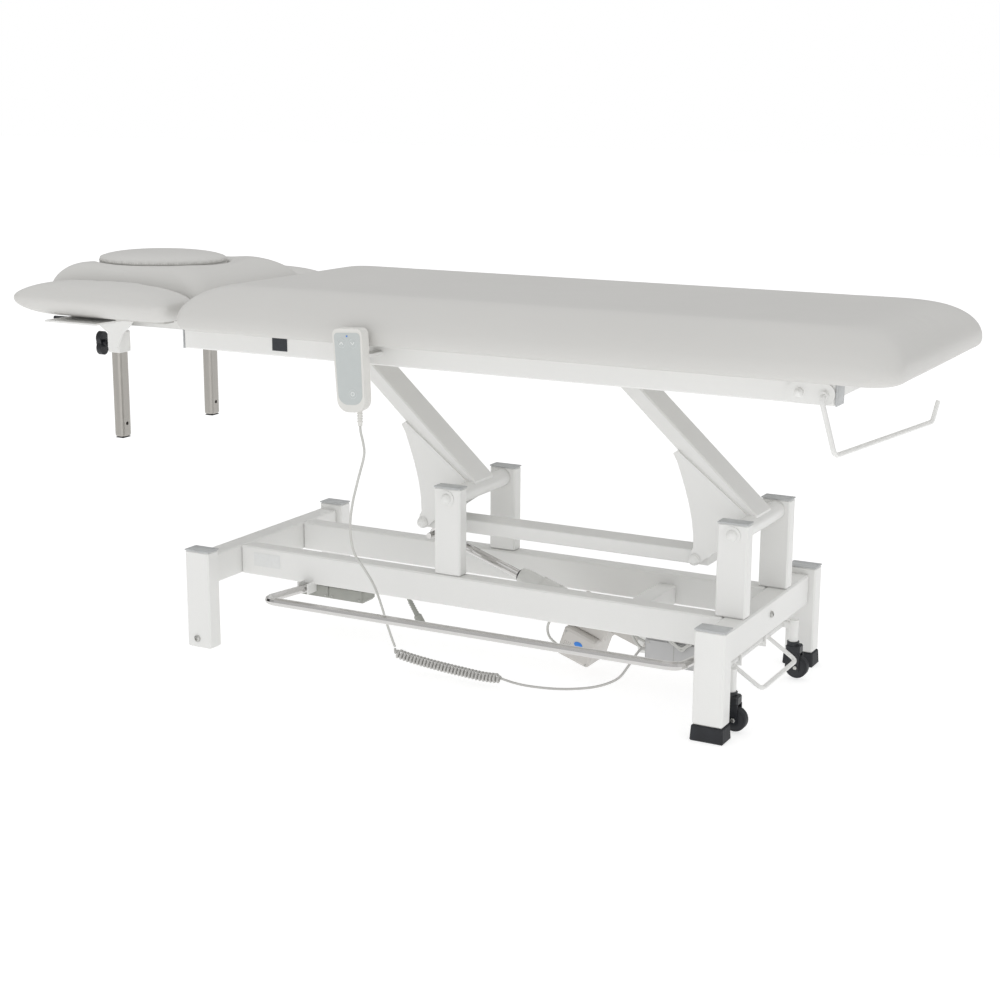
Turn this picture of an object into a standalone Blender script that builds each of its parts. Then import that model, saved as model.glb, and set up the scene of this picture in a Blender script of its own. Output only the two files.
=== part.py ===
"""Electric height-adjustable examination couch.

X runs along the couch from the head end (-X) to the foot end (+X), Y across it, Z up.
Every measure below is in metres from the middle of the base frame, on the floor.
The root empty moves that point so that the origin is the centre of the footprint.
"""
import bpy
import bmesh
from math import cos, pi, radians, sin, sqrt
from mathutils import Euler, Matrix, Vector

GAP = 0.0003

# base frame
LEG_OUTER_X = 0.606
LEG_OUTER_Y = 0.273
LEG_WIDTH = 0.060
LEG_DEPTH = 0.038
LEG_TOP = 0.2105
RAIL_BOTTOM = 0.1345
RAIL_TOP = 0.197
RAIL_OUTER_Y = 0.138
RAIL_WIDTH = 0.040
CROSS_WIDTH = 0.045
HEAD_CROSS_X = -0.605
FOOT_CROSS_X = 0.547
RUBBER_HEIGHT = 0.030

# uprights and the parallel lift arms
UPRIGHT_WIDTH = 0.060
UPRIGHT_OUTER_Y = 0.133
UPRIGHT_DEPTH = 0.030
UPRIGHT_TOP = 0.378
HEAD_PIVOT_X = -0.0495
FOOT_PIVOT_X = 0.560
PIVOT_Z = 0.357
ARM_LENGTH = 0.4428
ARM_ANGLE = radians(42.3)
ARM_WIDTH = 0.080
ARM_THICK = 0.030
ARM_OFFSET = 0.008
PIVOT_TUBE_R = 0.019
AXLE_R = 0.008
LINK_X = -0.1085
LINK_Z = -0.0805
GUSSET_THICK = 0.006
LINK_HALF_Y = 0.030
LINK_HALF_Z = 0.014
PIN_R = 0.006

# linear actuator between the base and the head lift arm
ROD_EYE = Vector((-0.148, 0.0, 0.247))
ACTUATOR_MOUNT = Vector((0.345, 0.0, 0.077))
ROD_R = 0.009
ROD_LENGTH = 0.300
TUBE_START = 0.210
GEARBOX_START = 0.345
GEARBOX_END = 0.440

# upper frame
TOP_RAIL_BOTTOM = 0.640
TOP_RAIL_TOP = 0.680
TOP_RAIL_OUTER_Y = 0.270
TOP_RAIL_WIDTH = 0.040
TOP_RAIL_HEAD = -0.590
TOP_RAIL_FOOT = 0.786
BOARD_TOP = 0.6917

# upholstery
PAD_HALF_WIDTH = 0.325
PAD_BOTTOM = 0.692
PAD_TOP = 0.772
MAIN_PAD_HEAD = -0.581
MAIN_PAD_FOOT = 0.905
HEAD_PAD_HEAD = -1.020
HEAD_PAD_FOOT = -0.596
HEAD_PAD_TOP = 0.782
HEAD_HALF_WIDTH = 0.197
PLUG_HEIGHT = 0.114
FACE_X = -0.855
HINGE_X = -0.575
HINGE_Z = 0.660
HINGE_REACH = 0.2390

# arm rests
LEVER_X = -0.940
LEVER_Z = 0.667
POST_X = -0.8555
POST_Y = 0.159
POST_BOTTOM = 0.4115
ARM_PAD_INNER_Y = 0.201
ARM_PAD_HEAD = -1.005
ARM_PAD_FOOT = -0.597

# handset, its cord and the foot bar
HANDSET_FRONT_Y = -0.360
HANDSET_BACK_Y = -0.336
HANDSET_X = -0.1310
HANDSET_Z = 0.6410
HANDSET_LEAN = 3.2
GLAND_X = -0.1160
CORD_R = 0.0025
COIL_R = 0.0105
BAR_R = 0.0085
BAR_HINGE_Y = -0.152
BAR_HINGE_Z = 0.127
BAR_HEAD_X = -0.385
BAR_FOOT_X = 0.528

# castors and their lifting shaft
SHAFT_X = 0.565
SHAFT_Z = 0.112
CASTOR_X = 0.592
CASTOR_NEAR_Y = -0.196
CASTOR_FAR_Y = 0.152
WHEEL_X = 0.602
WHEEL_Z = 0.0268
WHEEL_R = 0.0235
ROLLER_X = -0.577
ROLLER_Z = 0.0175

# the root empty puts the footprint's centre at the origin
CENTRE_X = -(HEAD_PAD_HEAD + MAIN_PAD_FOOT) / 2
CENTRE_Y = -(HANDSET_FRONT_Y + PAD_HALF_WIDTH) / 2

COLOURS = {
    "white paint": ((0.80, 0.80, 0.78, 1), 0.35, 0.0),
    "vinyl": ((0.56, 0.555, 0.53, 1), 0.55, 0.0),
    "plywood": ((0.62, 0.50, 0.36, 1), 0.7, 0.0),
    "black rubber": ((0.012, 0.013, 0.018, 1), 0.7, 0.0),
    "black plastic": ((0.014, 0.015, 0.020, 1), 0.45, 0.0),
    "grey plastic": ((0.50, 0.50, 0.485, 1), 0.45, 0.0),
    "chrome": ((0.75, 0.74, 0.72, 1), 0.12, 1.0),
    "stainless steel": ((0.42, 0.40, 0.37, 1), 0.32, 1.0),
}

for old in list(bpy.data.objects):
    bpy.data.objects.remove(old, do_unlink=True)

couch = bpy.data.collections.new("examination_couch")
cutters = bpy.data.collections.new("cutters")
bpy.context.scene.collection.children.link(couch)
bpy.context.scene.collection.children.link(cutters)

root = bpy.data.objects.new("couch_origin", None)
root.location = (CENTRE_X, CENTRE_Y, 0)
couch.objects.link(root)


def material(name):
    found = bpy.data.materials.get(name)
    if found:
        return found
    made = bpy.data.materials.new(name)
    made.use_nodes = True
    shader = made.node_tree.nodes["Principled BSDF"]
    colour, roughness, metallic = COLOURS[name]
    shader.inputs["Base Color"].default_value = colour
    shader.inputs["Roughness"].default_value = roughness
    shader.inputs["Metallic"].default_value = metallic
    made.diffuse_color = colour
    return made


def pivot_empty(name, place, parent=root):
    empty = bpy.data.objects.new(name, None)
    empty.location = Vector(place) - (Vector() if parent is root else parent.location)
    empty.parent = parent
    couch.objects.link(empty)
    return empty


def add_mesh(name, bm, finish, place=(0, 0, 0), turn=(0, 0, 0), cutter=False):
    mesh = bpy.data.meshes.new(name)
    bmesh.ops.recalc_face_normals(bm, faces=bm.faces)
    bm.to_mesh(mesh)
    bm.free()
    mesh.shade_smooth()
    mesh.set_sharp_from_angle(angle=radians(35))
    piece = bpy.data.objects.new(name, mesh)
    piece.location = place
    piece.rotation_euler = Euler(turn)
    piece.parent = root
    if cutter:
        cutters.objects.link(piece)
        piece.hide_render = True
        piece.display_type = "WIRE"
    else:
        couch.objects.link(piece)
        mesh.materials.append(material(finish))
    return piece


def bevelled(piece, width, segments=2):
    if width > 0:
        bevel = piece.modifiers.new("rounded edges", "BEVEL")
        bevel.width = width
        bevel.segments = segments
        bevel.limit_method = "ANGLE"
        bevel.angle_limit = radians(30)
    return piece


def box(name, finish, x, y, z, round_by=0.002, segments=1, cutter=False):
    """A block from its lowest and highest x, y and z."""
    bm = bmesh.new()
    bmesh.ops.create_cube(bm, size=1.0)
    size = Vector((x[1] - x[0], y[1] - y[0], z[1] - z[0]))
    bmesh.ops.scale(bm, vec=size, verts=bm.verts)
    centre = ((x[0] + x[1]) / 2, (y[0] + y[1]) / 2, (z[0] + z[1]) / 2)
    piece = add_mesh(name, bm, finish, centre, cutter=cutter)
    return bevelled(piece, round_by, segments)


def block_along(name, finish, start, direction, s, y, n, round_by=0.002, segments=1, cutter=False):
    """A block in a sloped frame: s along direction, y across, n up from the axis."""
    bm = bmesh.new()
    bmesh.ops.create_cube(bm, size=1.0)
    bmesh.ops.scale(bm, vec=Vector((s[1] - s[0], y[1] - y[0], n[1] - n[0])), verts=bm.verts)
    middle = Vector(((s[0] + s[1]) / 2, (y[0] + y[1]) / 2, (n[0] + n[1]) / 2))
    bmesh.ops.translate(bm, vec=middle, verts=bm.verts)
    slope = direction.to_track_quat("X", "Z").to_euler()
    piece = add_mesh(name, bm, finish, start, slope, cutter)
    return bevelled(piece, round_by, segments)


def cylinder(name, finish, radius, length, place, turn=(0, 0, 0), sides=24, cutter=False, edge=0.0):
    bm = bmesh.new()
    bmesh.ops.create_cone(bm, cap_ends=True, segments=sides, radius1=radius, radius2=radius, depth=length)
    piece = add_mesh(name, bm, finish, place, turn, cutter)
    return bevelled(piece, edge, 1)


ALONG_Y = (radians(90), 0, 0)
ALONG_X = (0, radians(90), 0)


def join_to(piece, *others):
    """Weld other shapes onto a piece."""
    for other in others:
        union = piece.modifiers.new("weld " + other.name, "BOOLEAN")
        union.operation = "UNION"
        union.object = other
    return piece


def cut_from(piece, *others):
    for other in others:
        cut = piece.modifiers.new("cut " + other.name, "BOOLEAN")
        cut.operation = "DIFFERENCE"
        cut.object = other
    return piece


def turned(name, finish, profile, place, turn=(0, 0, 0), steps=24, cutter=False):
    """A turned shape from (radius, height) points, run down its outer side."""
    bm = bmesh.new()
    points = [bm.verts.new((r, 0, h)) for r, h in profile]
    for first, second in zip(points, points[1:]):
        bm.edges.new((first, second))
    mesh = bpy.data.meshes.new(name)
    bm.to_mesh(mesh)
    bm.free()
    piece = bpy.data.objects.new(name, mesh)
    piece.location = place
    piece.rotation_euler = Euler(turn)
    piece.parent = root
    screw = piece.modifiers.new("turn", "SCREW")
    screw.steps = steps
    screw.render_steps = steps
    screw.use_merge_vertices = True
    screw.merge_threshold = 0.00001
    screw.use_smooth_shade = True
    if cutter:
        cutters.objects.link(piece)
        piece.hide_render = True
        piece.display_type = "WIRE"
    else:
        couch.objects.link(piece)
        mesh.materials.append(material(finish))
    return piece


def plate(name, finish, outline, thickness, place, turn, cutter=False):
    """A flat plate from a closed outline in its own XY plane."""
    curve = bpy.data.curves.new(name, "CURVE")
    curve.dimensions = "2D"
    curve.fill_mode = "BOTH"
    curve.extrude = thickness / 2
    spline = curve.splines.new("POLY")
    spline.points.add(len(outline) - 1)
    for point, (u, v) in zip(spline.points, outline):
        point.co = (u, v, 0, 1)
    spline.use_cyclic_u = True
    return curve_to_mesh(name, finish, curve, place, turn, cutter)


def curve_to_mesh(name, finish, curve, place=(0, 0, 0), turn=(0, 0, 0), cutter=False):
    shape = bpy.data.objects.new(name + "_curve", curve)
    couch.objects.link(shape)
    shape.location = place
    shape.rotation_euler = Euler(turn)
    graph = bpy.context.evaluated_depsgraph_get()
    mesh = bpy.data.meshes.new_from_object(shape.evaluated_get(graph))
    bm = bmesh.new()
    bm.from_mesh(mesh)
    bmesh.ops.remove_doubles(bm, verts=bm.verts, dist=0.00001)
    bpy.data.objects.remove(shape, do_unlink=True)
    bpy.data.meshes.remove(mesh)
    return add_mesh(name, bm, finish, place, turn, cutter)


def rounded_path(corners, radius, steps=5):
    """Straight runs between corners, with a round bend at each inner corner."""
    corners = [Vector(c) for c in corners]
    path = [corners[0]]
    for before, corner, after in zip(corners, corners[1:], corners[2:]):
        into = (before - corner).normalized()
        out = (after - corner).normalized()
        half = into.angle(out) / 2
        reach = radius / max(sin(half) / cos(half), 0.01)
        start = corner + into * reach
        end = corner + out * reach
        for step in range(steps + 1):
            t = step / steps
            path.append(start * (1 - t) ** 2 + corner * 2 * t * (1 - t) + end * t ** 2)
    path.append(corners[-1])
    return path


def rod_along(name, finish, path, radius, resolution=3, cutter=False):
    """A round bar or cord that follows a list of points."""
    curve = bpy.data.curves.new(name, "CURVE")
    curve.dimensions = "3D"
    curve.bevel_depth = radius
    curve.bevel_resolution = resolution
    curve.use_fill_caps = True
    spline = curve.splines.new("POLY")
    spline.points.add(len(path) - 1)
    for point, place in zip(spline.points, path):
        point.co = (*place, 1)
    return curve_to_mesh(name, finish, curve, cutter=cutter)


def smooth_route(points, spacing):
    """Evenly spaced points on one smooth curve through the route's own points."""
    route = [Vector(p) for p in points]
    dense = []
    for i in range(len(route) - 1):
        before = route[max(i - 1, 0)]
        after = route[min(i + 2, len(route) - 1)]
        start, end = route[i], route[i + 1]
        for step in range(12):
            t = step / 12
            a = (end - before) / 2
            b = (after - start) / 2
            h = 2 * t ** 3 - 3 * t ** 2 + 1
            g = t ** 3 - 2 * t ** 2 + t
            dense.append(start * h + a * g + end * (1 - h) + b * (t ** 3 - t ** 2))
    dense.append(route[-1])
    even = [dense[0]]
    for point in dense[1:-1]:
        if (point - even[-1]).length >= spacing:
            even.append(point)
    if (dense[-1] - even[-1]).length < spacing / 2:
        even.pop()
    even.append(dense[-1])
    return even


def oval(half_x, half_y, points=40):
    return [(half_x * cos(2 * pi * i / points), half_y * sin(2 * pi * i / points)) for i in range(points)]


def dome_profile(length, shank, flange, dome, proud):
    """Half of a pin with a flange and a domed cap on both of its ends."""
    half = length / 2
    top = [(dome * cos(a), half + 0.002 + proud * sin(a)) for a in (pi / 2, pi / 3, pi / 6, 0)]
    top[0] = (0, half + 0.002 + proud)
    upper = top + [(flange, half + 0.002), (flange, half), (shank, half)]
    return upper + [(r, -h) for r, h in reversed(upper)]


# ---------------------------------------------------------------- base frame

def base_frame():
    white = "white paint"
    for side, sign in (("near", -1), ("far", 1)):
        rail_y = sorted((sign * RAIL_OUTER_Y, sign * (RAIL_OUTER_Y - RAIL_WIDTH)))
        rail_x = (HEAD_CROSS_X + CROSS_WIDTH + GAP, FOOT_CROSS_X - GAP)
        rail = box("base_rail_" + side, white, rail_x, rail_y, (RAIL_BOTTOM, RAIL_TOP), 0.003)
        if sign < 0:
            foot_bar_lugs(rail)
        leg_y = sorted((sign * LEG_OUTER_Y, sign * (LEG_OUTER_Y - LEG_DEPTH)))
        leg_middle = sum(leg_y) / 2
        head_leg = box("leg_head_" + side, white, (-LEG_OUTER_X, -LEG_OUTER_X + LEG_WIDTH), leg_y,
                       (0, LEG_TOP), 0.003)
        slot = box("roller_slot_" + side, white, (-0.601, -0.553),
                   (leg_middle - 0.0105, leg_middle + 0.0105),
                   (-0.01, 0.042), 0, cutter=True)
        axle = cylinder("roller_axle_" + side, white, 0.003, 0.024, (ROLLER_X, leg_middle, ROLLER_Z),
                        ALONG_Y, 12,
                        cutter=True)
        join_to(cut_from(head_leg, slot), axle)
        box("leg_foot_" + side, white, (LEG_OUTER_X - LEG_WIDTH, LEG_OUTER_X), leg_y,
            (RUBBER_HEIGHT + GAP, LEG_TOP), 0.003)
        rubber_foot(side, leg_y)
        transport_roller(side, leg_middle)
        for end, middle in (("head", HEAD_PIVOT_X), ("foot", FOOT_PIVOT_X)):
            upright(end, side, sign, middle)
    inner = LEG_OUTER_Y - LEG_DEPTH - GAP
    box("crossbeam_head", white, (HEAD_CROSS_X, HEAD_CROSS_X + CROSS_WIDTH), (-inner, inner),
        (RAIL_BOTTOM, RAIL_TOP), 0.003)
    foot_beam = box("crossbeam_foot", white, (FOOT_CROSS_X, FOOT_CROSS_X + CROSS_WIDTH), (-inner, inner),
                    (RAIL_BOTTOM, RAIL_TOP), 0.003)
    for number, hanger_y in enumerate((-0.105, 0.030)):
        hanger = box("hanger_%d" % number, white, (SHAFT_X - 0.012, SHAFT_X + 0.012),
                     (hanger_y - 0.002, hanger_y + 0.002),
                     (SHAFT_Z - 0.013, RAIL_BOTTOM + 0.002), 0, cutter=True)
        hole = cylinder("hanger_hole_%d" % number, white, 0.0085, 0.02, (SHAFT_X, hanger_y, SHAFT_Z),
                        ALONG_Y,
                        20, cutter=True)
        cut_from(join_to(foot_beam, hanger), hole)


def foot_bar_lugs(rail):
    """Two pairs of ears with a cross pin, which the foot bar swings on."""
    for end, middle in (("head", BAR_HEAD_X), ("foot", BAR_FOOT_X)):
        ears = []
        for number, side in enumerate((-1, 1)):
            x = middle + side * 0.0120
            ears.append(box("ear_%s_%d" % (end, number), "", (x - 0.0015, x + 0.0015), (-0.1610, -0.1285),
                            (0.1180, 0.1410), 0, cutter=True))
        pin = cylinder("ear_pin_" + end, "", 0.0035, 0.0250, (middle, BAR_HINGE_Y, BAR_HINGE_Z), ALONG_X,
                       12,
                       cutter=True)
        join_to(rail, *ears, pin)


def rubber_foot(side, leg_y):
    bm = bmesh.new()
    bmesh.ops.create_cube(bm, size=1.0)
    bmesh.ops.scale(bm, vec=Vector((LEG_WIDTH + 0.002, LEG_DEPTH + 0.002, RUBBER_HEIGHT)), verts=bm.verts)
    for vert in bm.verts:
        if vert.co.z < 0:
            vert.co.x *= 1.06
            vert.co.y *= 1.08
    place = (LEG_OUTER_X - LEG_WIDTH / 2, sum(leg_y) / 2, RUBBER_HEIGHT / 2)
    bevelled(add_mesh("rubber_foot_" + side, bm, "black rubber", place), 0.002, 1)


def transport_roller(side, middle):
    roller = cylinder("roller_" + side, "black plastic", 0.0163, 0.019, (ROLLER_X, middle, ROLLER_Z),
                      ALONG_Y, 28)
    bore = cylinder("roller_bore_" + side, "", 0.0035, 0.03, (ROLLER_X, middle, ROLLER_Z), ALONG_Y, 16,
                    cutter=True)
    cut_from(roller, bore)


def upright(end, side, sign, middle):
    post_y = sorted((sign * UPRIGHT_OUTER_Y, sign * (UPRIGHT_OUTER_Y - UPRIGHT_DEPTH)))
    post = box("upright_%s_%s" % (end, side), "white paint",
               (middle - UPRIGHT_WIDTH / 2, middle + UPRIGHT_WIDTH / 2),
               post_y, (RAIL_TOP + GAP, UPRIGHT_TOP), 0.003)
    hole = cylinder("upright_hole_%s_%s" % (end, side), "", AXLE_R + GAP, 0.06,
                    (middle, sum(post_y) / 2, PIVOT_Z), ALONG_Y, 24, cutter=True)
    cut_from(post, hole)


# ------------------------------------------------------------- lifting linkage

def lift_arm(end, pivot_x):
    """The welded arm: cross tube, box arm, top tube and the pair of curved gussets."""
    empty = pivot_empty("lift_axis_" + end, (pivot_x, 0, PIVOT_Z))
    pivot = Vector((pivot_x, 0, PIVOT_Z))
    up = Vector((-cos(ARM_ANGLE), 0, sin(ARM_ANGLE)))
    top = pivot + up * ARM_LENGTH
    across = UPRIGHT_OUTER_Y - UPRIGHT_DEPTH - 0.001
    arm = cylinder("lift_arm_" + end, "white paint", PIVOT_TUBE_R, 2 * across, pivot, ALONG_Y, 28)
    beam = block_along("beam_" + end, "", pivot, up, (0, ARM_LENGTH), (-ARM_WIDTH / 2, ARM_WIDTH / 2),
                       (ARM_OFFSET - ARM_THICK / 2, ARM_OFFSET + ARM_THICK / 2), 0.003, 1, cutter=True)
    inner = TOP_RAIL_OUTER_Y - TOP_RAIL_WIDTH - 0.0015
    top_tube = cylinder("top_tube_" + end, "", 0.016, 2 * inner, top, ALONG_Y, 24, cutter=True)
    gussets = [gusset(end, side, pivot) for side in (-1, 1)]
    join_to(arm, beam, top_tube, *gussets)
    bore = cylinder("arm_bore_" + end, "", AXLE_R + GAP, 0.3, pivot, ALONG_Y, 24, cutter=True)
    link_hole = cylinder("link_hole_" + end, "", PIN_R + GAP, 0.2, pivot + Vector((LINK_X, 0, LINK_Z)),
                         ALONG_Y, 20,
                         cutter=True)
    cut_from(arm, bore, link_hole)
    keep = arm.matrix_world.copy()
    arm.parent = empty
    arm.location = (0, 0, 0)
    axle_length = 2 * UPRIGHT_OUTER_Y + 2 * GAP
    turned("pivot_axle_" + end, "white paint", dome_profile(axle_length, AXLE_R, 0.0165, 0.0115, 0.0100),
           pivot,
           ALONG_Y)
    pin_length = 2 * (ARM_WIDTH / 2 + GUSSET_THICK + GAP)
    turned("link_pin_" + end, "white paint", dome_profile(pin_length, PIN_R, 0.0120, 0.0112, 0.0090),
           pivot + Vector((LINK_X, 0, LINK_Z)), ALONG_Y, 20)
    return keep


def gusset(end, side, pivot):
    """A curved web between the arm's lower edge, the pivot and the link pin."""
    outline = [(-0.1500, 0.1300), (-0.1590, 0.1240)]
    for step in range(7):
        t = step / 6
        outline.append((-0.1500 + 0.0385 * sin(t * pi / 2) , 0.1080 - 0.1640 * t))
    for step in range(7):
        a = radians(175 + 150 * step / 6)
        outline.append((LINK_X + 0.0125 * cos(a), LINK_Z + 0.0125 * sin(a)))
    outline += [(-0.0700, -0.0640), (0.0050, -0.0120), (0.0100, 0.0080)]
    y = side * (ARM_WIDTH / 2 + GUSSET_THICK / 2 - 0.0005)
    web = plate("gusset_%s_%d" % (end, side), "", outline, GUSSET_THICK, (0, 0, 0), ALONG_Y, cutter=True)
    web.location = pivot + Vector((0, y, 0))
    return web


def link():
    left = HEAD_PIVOT_X + LINK_X
    right = FOOT_PIVOT_X + LINK_X
    height = PIVOT_Z + LINK_Z
    bar = box("link_bar", "white paint", (left - 0.018, right + 0.024), (-LINK_HALF_Y, LINK_HALF_Y),
              (height - LINK_HALF_Z, height + LINK_HALF_Z), 0.002)
    notch = box("rod_notch", "", (left - 0.03, left + 0.090), (-0.0155, 0.0155),
                (height - 0.03, height + 0.0095), 0,
                cutter=True)
    cut_from(bar, notch)
    for number, x in enumerate((left, right)):
        hole = cylinder("bar_hole_%d" % number, "", PIN_R + 0.0006, 0.1, (x, 0, height), ALONG_Y, 20,
                        cutter=True)
        cut_from(bar, hole)


def actuator():
    axis = (ACTUATOR_MOUNT - ROD_EYE).normalized()
    reach = (ACTUATOR_MOUNT - ROD_EYE).length
    slope = axis.to_track_quat("Z", "Y").to_euler()
    rod = cylinder("actuator_rod", "chrome", ROD_R, ROD_LENGTH, ROD_EYE + axis * ROD_LENGTH / 2, slope, 24)
    eye = cylinder("rod_eye", "", 0.0125, 0.024, ROD_EYE, ALONG_Y, 20, cutter=True)
    pin = cylinder("rod_pin", "", PIN_R, 0.076, ROD_EYE, ALONG_Y, 16, cutter=True)
    join_to(rod, eye, pin)
    tube_end = GEARBOX_START - GAP
    profile = [(0.0105, tube_end), (0.0210, tube_end), (0.0210, 0.262), (0.0190, 0.258), (0.0190, 0.222),
               (0.0165, TUBE_START), (0.0105, TUBE_START), (0.0105, tube_end)]
    turned("actuator_tube", "grey plastic", profile, ROD_EYE, slope, 28)
    housing = block_along("actuator_motor_housing", "grey plastic", ROD_EYE, axis,
                          (GEARBOX_START, GEARBOX_END),
                          (-0.034, 0.034), (-0.032, 0.027), 0.005)
    motor = block_along("motor_box", "", ROD_EYE, axis, (0.3555, 0.430), (-0.050, 0.042),
                        (-0.0945, -0.0300), 0.007,
                        2, cutter=True)
    tail = block_along("tail", "", ROD_EYE, axis, (0.43, reach), (-0.0135, 0.0135), (-0.0130, 0.0130), 0, 1,
                       cutter=True)
    tail_eye = cylinder("tail_eye", "", 0.0130, 0.027, ACTUATOR_MOUNT, ALONG_Y, 20, cutter=True)
    tail_pin = cylinder("tail_pin", "", PIN_R, 0.050, ACTUATOR_MOUNT, ALONG_Y, 16, cutter=True)
    join_to(housing, motor, tail, tail_eye, tail_pin)
    bore = cylinder("housing_bore", "", 0.0105, 0.14, ROD_EYE + axis * 0.335, slope, 24, cutter=True)
    cut_from(housing, bore)
    beam = box("actuator_crossmember", "white paint", (0.317, 0.357), (-RAIL_OUTER_Y + RAIL_WIDTH + GAP,
               RAIL_OUTER_Y - RAIL_WIDTH - GAP), (0.136, 0.176), 0.002)
    for number, side in enumerate((-1, 1)):
        lug = box("mount_lug_%d" % number, "", (0.327, 0.363),
                  (side * 0.0185 - 0.003, side * 0.0185 + 0.003),
                  (0.062, 0.1375), 0, cutter=True)
        hole = cylinder("lug_hole_%d" % number, "", PIN_R + 0.0005, 0.02,
                        ACTUATOR_MOUNT + Vector((0, side * 0.0185, 0)),
                        ALONG_Y, 20, cutter=True)
        cut_from(join_to(beam, lug), hole)


# ------------------------------------------------------------- upper frame

def upper_frame():
    for side, sign in (("near", -1), ("far", 1)):
        rail_y = sorted((sign * TOP_RAIL_OUTER_Y, sign * (TOP_RAIL_OUTER_Y - TOP_RAIL_WIDTH)))
        rail = box("top_rail_" + side, "white paint", (TOP_RAIL_HEAD, TOP_RAIL_FOOT), rail_y,
                   (TOP_RAIL_BOTTOM, TOP_RAIL_TOP), 0.003)
        if sign < 0:
            hook = box("handset_hook", "", (-0.136, -0.112),
                       (HANDSET_BACK_Y + GAP, -TOP_RAIL_OUTER_Y + 0.002),
                       (0.662, 0.668), 0, cutter=True)
            join_to(rail, hook)
        cut_from(rail, cylinder("hinge_seat_" + side, "", 0.0104, 2 * 0.0100,
                                (HINGE_X, sign * 0.2300, HINGE_Z), ALONG_Y,
                                24, cutter=True))
    inner = TOP_RAIL_OUTER_Y - TOP_RAIL_WIDTH - GAP
    box("top_cross_head", "white paint", (-0.550, -0.520), (-inner, inner),
        (TOP_RAIL_BOTTOM, TOP_RAIL_TOP), 0.002)
    box("top_cross_foot", "white paint", (0.755, 0.785), (-inner, inner), (0.650, TOP_RAIL_TOP), 0.002)
    box("main_board", "plywood", (-0.572, 0.890), (-0.300, 0.300), (TOP_RAIL_TOP + GAP, BOARD_TOP), 0.001)


def upholstery():
    soft_block("main_pad", (MAIN_PAD_HEAD, MAIN_PAD_FOOT), (-PAD_HALF_WIDTH, PAD_HALF_WIDTH),
               (PAD_BOTTOM, PAD_TOP), head_slope=0.015)
    hinge = pivot_empty("head_hinge_axis", (HINGE_X, 0, HINGE_Z))
    hinge.empty_display_size = 0.05
    box("head_board", "plywood", (-1.000, -0.603), (-0.190, 0.190), (TOP_RAIL_TOP + GAP, BOARD_TOP), 0.001)
    pad = soft_block("head_pad", (HEAD_PAD_HEAD, HEAD_PAD_FOOT), (-HEAD_HALF_WIDTH, HEAD_HALF_WIDTH),
                     (PAD_BOTTOM, HEAD_PAD_TOP), foot_slope=0.018)
    face_hole = plate("face_hole", "", oval(0.1420, 0.1270), 0.4, (0, 0, 0), (0, 0, 0), cutter=True)
    face_hole.location = (FACE_X, 0, 0.73)
    cut_from(pad, face_hole)
    board_hole = plate("board_hole", "", oval(0.100, 0.085), 0.1, (0, 0, 0), (0, 0, 0), cutter=True)
    board_hole.location = (FACE_X, 0, 0.686)
    cut_from(bpy.data.objects["head_board"], board_hole)
    plug = plate("face_plug", "vinyl", oval(0.1400, 0.1250), PLUG_HEIGHT, (0, 0, 0), (0, 0, 0))
    plug.location = (FACE_X, 0, PAD_BOTTOM + 0.0002 + PLUG_HEIGHT / 2)
    bevelled(plug, 0.012, 2)
    head_frame()


def soft_block(name, x, y, z, head_slope=0.0, foot_slope=0.0):
    """A cushion body, wider at the bottom where its ends lean away from the joint."""
    bm = bmesh.new()
    bmesh.ops.create_cube(bm, size=1.0)
    bmesh.ops.scale(bm, vec=Vector((x[1] - x[0], y[1] - y[0], z[1] - z[0])), verts=bm.verts)
    for vert in bm.verts:
        if vert.co.z > 0:
            vert.co.x += head_slope if vert.co.x < 0 else -foot_slope
    place = ((x[0] + x[1]) / 2, (y[0] + y[1]) / 2, (z[0] + z[1]) / 2)
    return bevelled(add_mesh(name, bm, "vinyl", place), 0.022, 3)


def head_frame():
    """Two side bars and a cross bar, welded to the hinge tube."""
    tube = cylinder("head_frame", "white paint", 0.010, 2 * HINGE_REACH, (HINGE_X, 0, HINGE_Z), ALONG_Y, 20)
    bars = []
    for number, side in enumerate((-1, 1)):
        middle = side * 0.125
        bars.append(box("side_bar_%d" % number, "", (-0.960, HINGE_X), (middle - 0.0125, middle + 0.0125),
                        (0.655, TOP_RAIL_TOP), 0, cutter=True))
    bars.append(box("cross_bar", "", (-0.985, -0.955), (-0.1375, 0.1375),
                    (0.6555, TOP_RAIL_TOP - 0.0005), 0,
                    cutter=True))
    join_to(tube, *bars)
    socket = cylinder("lever_hole", "", 0.0049, 0.0300, (LEVER_X, -0.1340, LEVER_Z), ALONG_Y, 20,
                      cutter=True)
    cut_from(tube, socket)


def arm_rests():
    for side, sign in (("near", -1), ("far", 1)):
        post = box("arm_post_" + side, "stainless steel", (POST_X - 0.0125, POST_X + 0.0125),
                   (sign * POST_Y - 0.015, sign * POST_Y + 0.015), (POST_BOTTOM, TOP_RAIL_TOP), 0.006, 2)
        hole = cylinder("post_hole_" + side, "", 0.004, 0.05,
                        (POST_X + 0.003, sign * POST_Y, POST_BOTTOM + 0.030),
                        ALONG_X, 16, cutter=True)
        cut_from(post, hole)
        arm_bracket(side, sign)
        pad_y = sorted((sign * ARM_PAD_INNER_Y, sign * PAD_HALF_WIDTH))
        soft_block("arm_pad_" + side, (ARM_PAD_HEAD, ARM_PAD_FOOT), pad_y, (TOP_RAIL_TOP + 0.0006, 0.760),
                   foot_slope=0.015)
        clamp_knob(side, sign)


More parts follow.
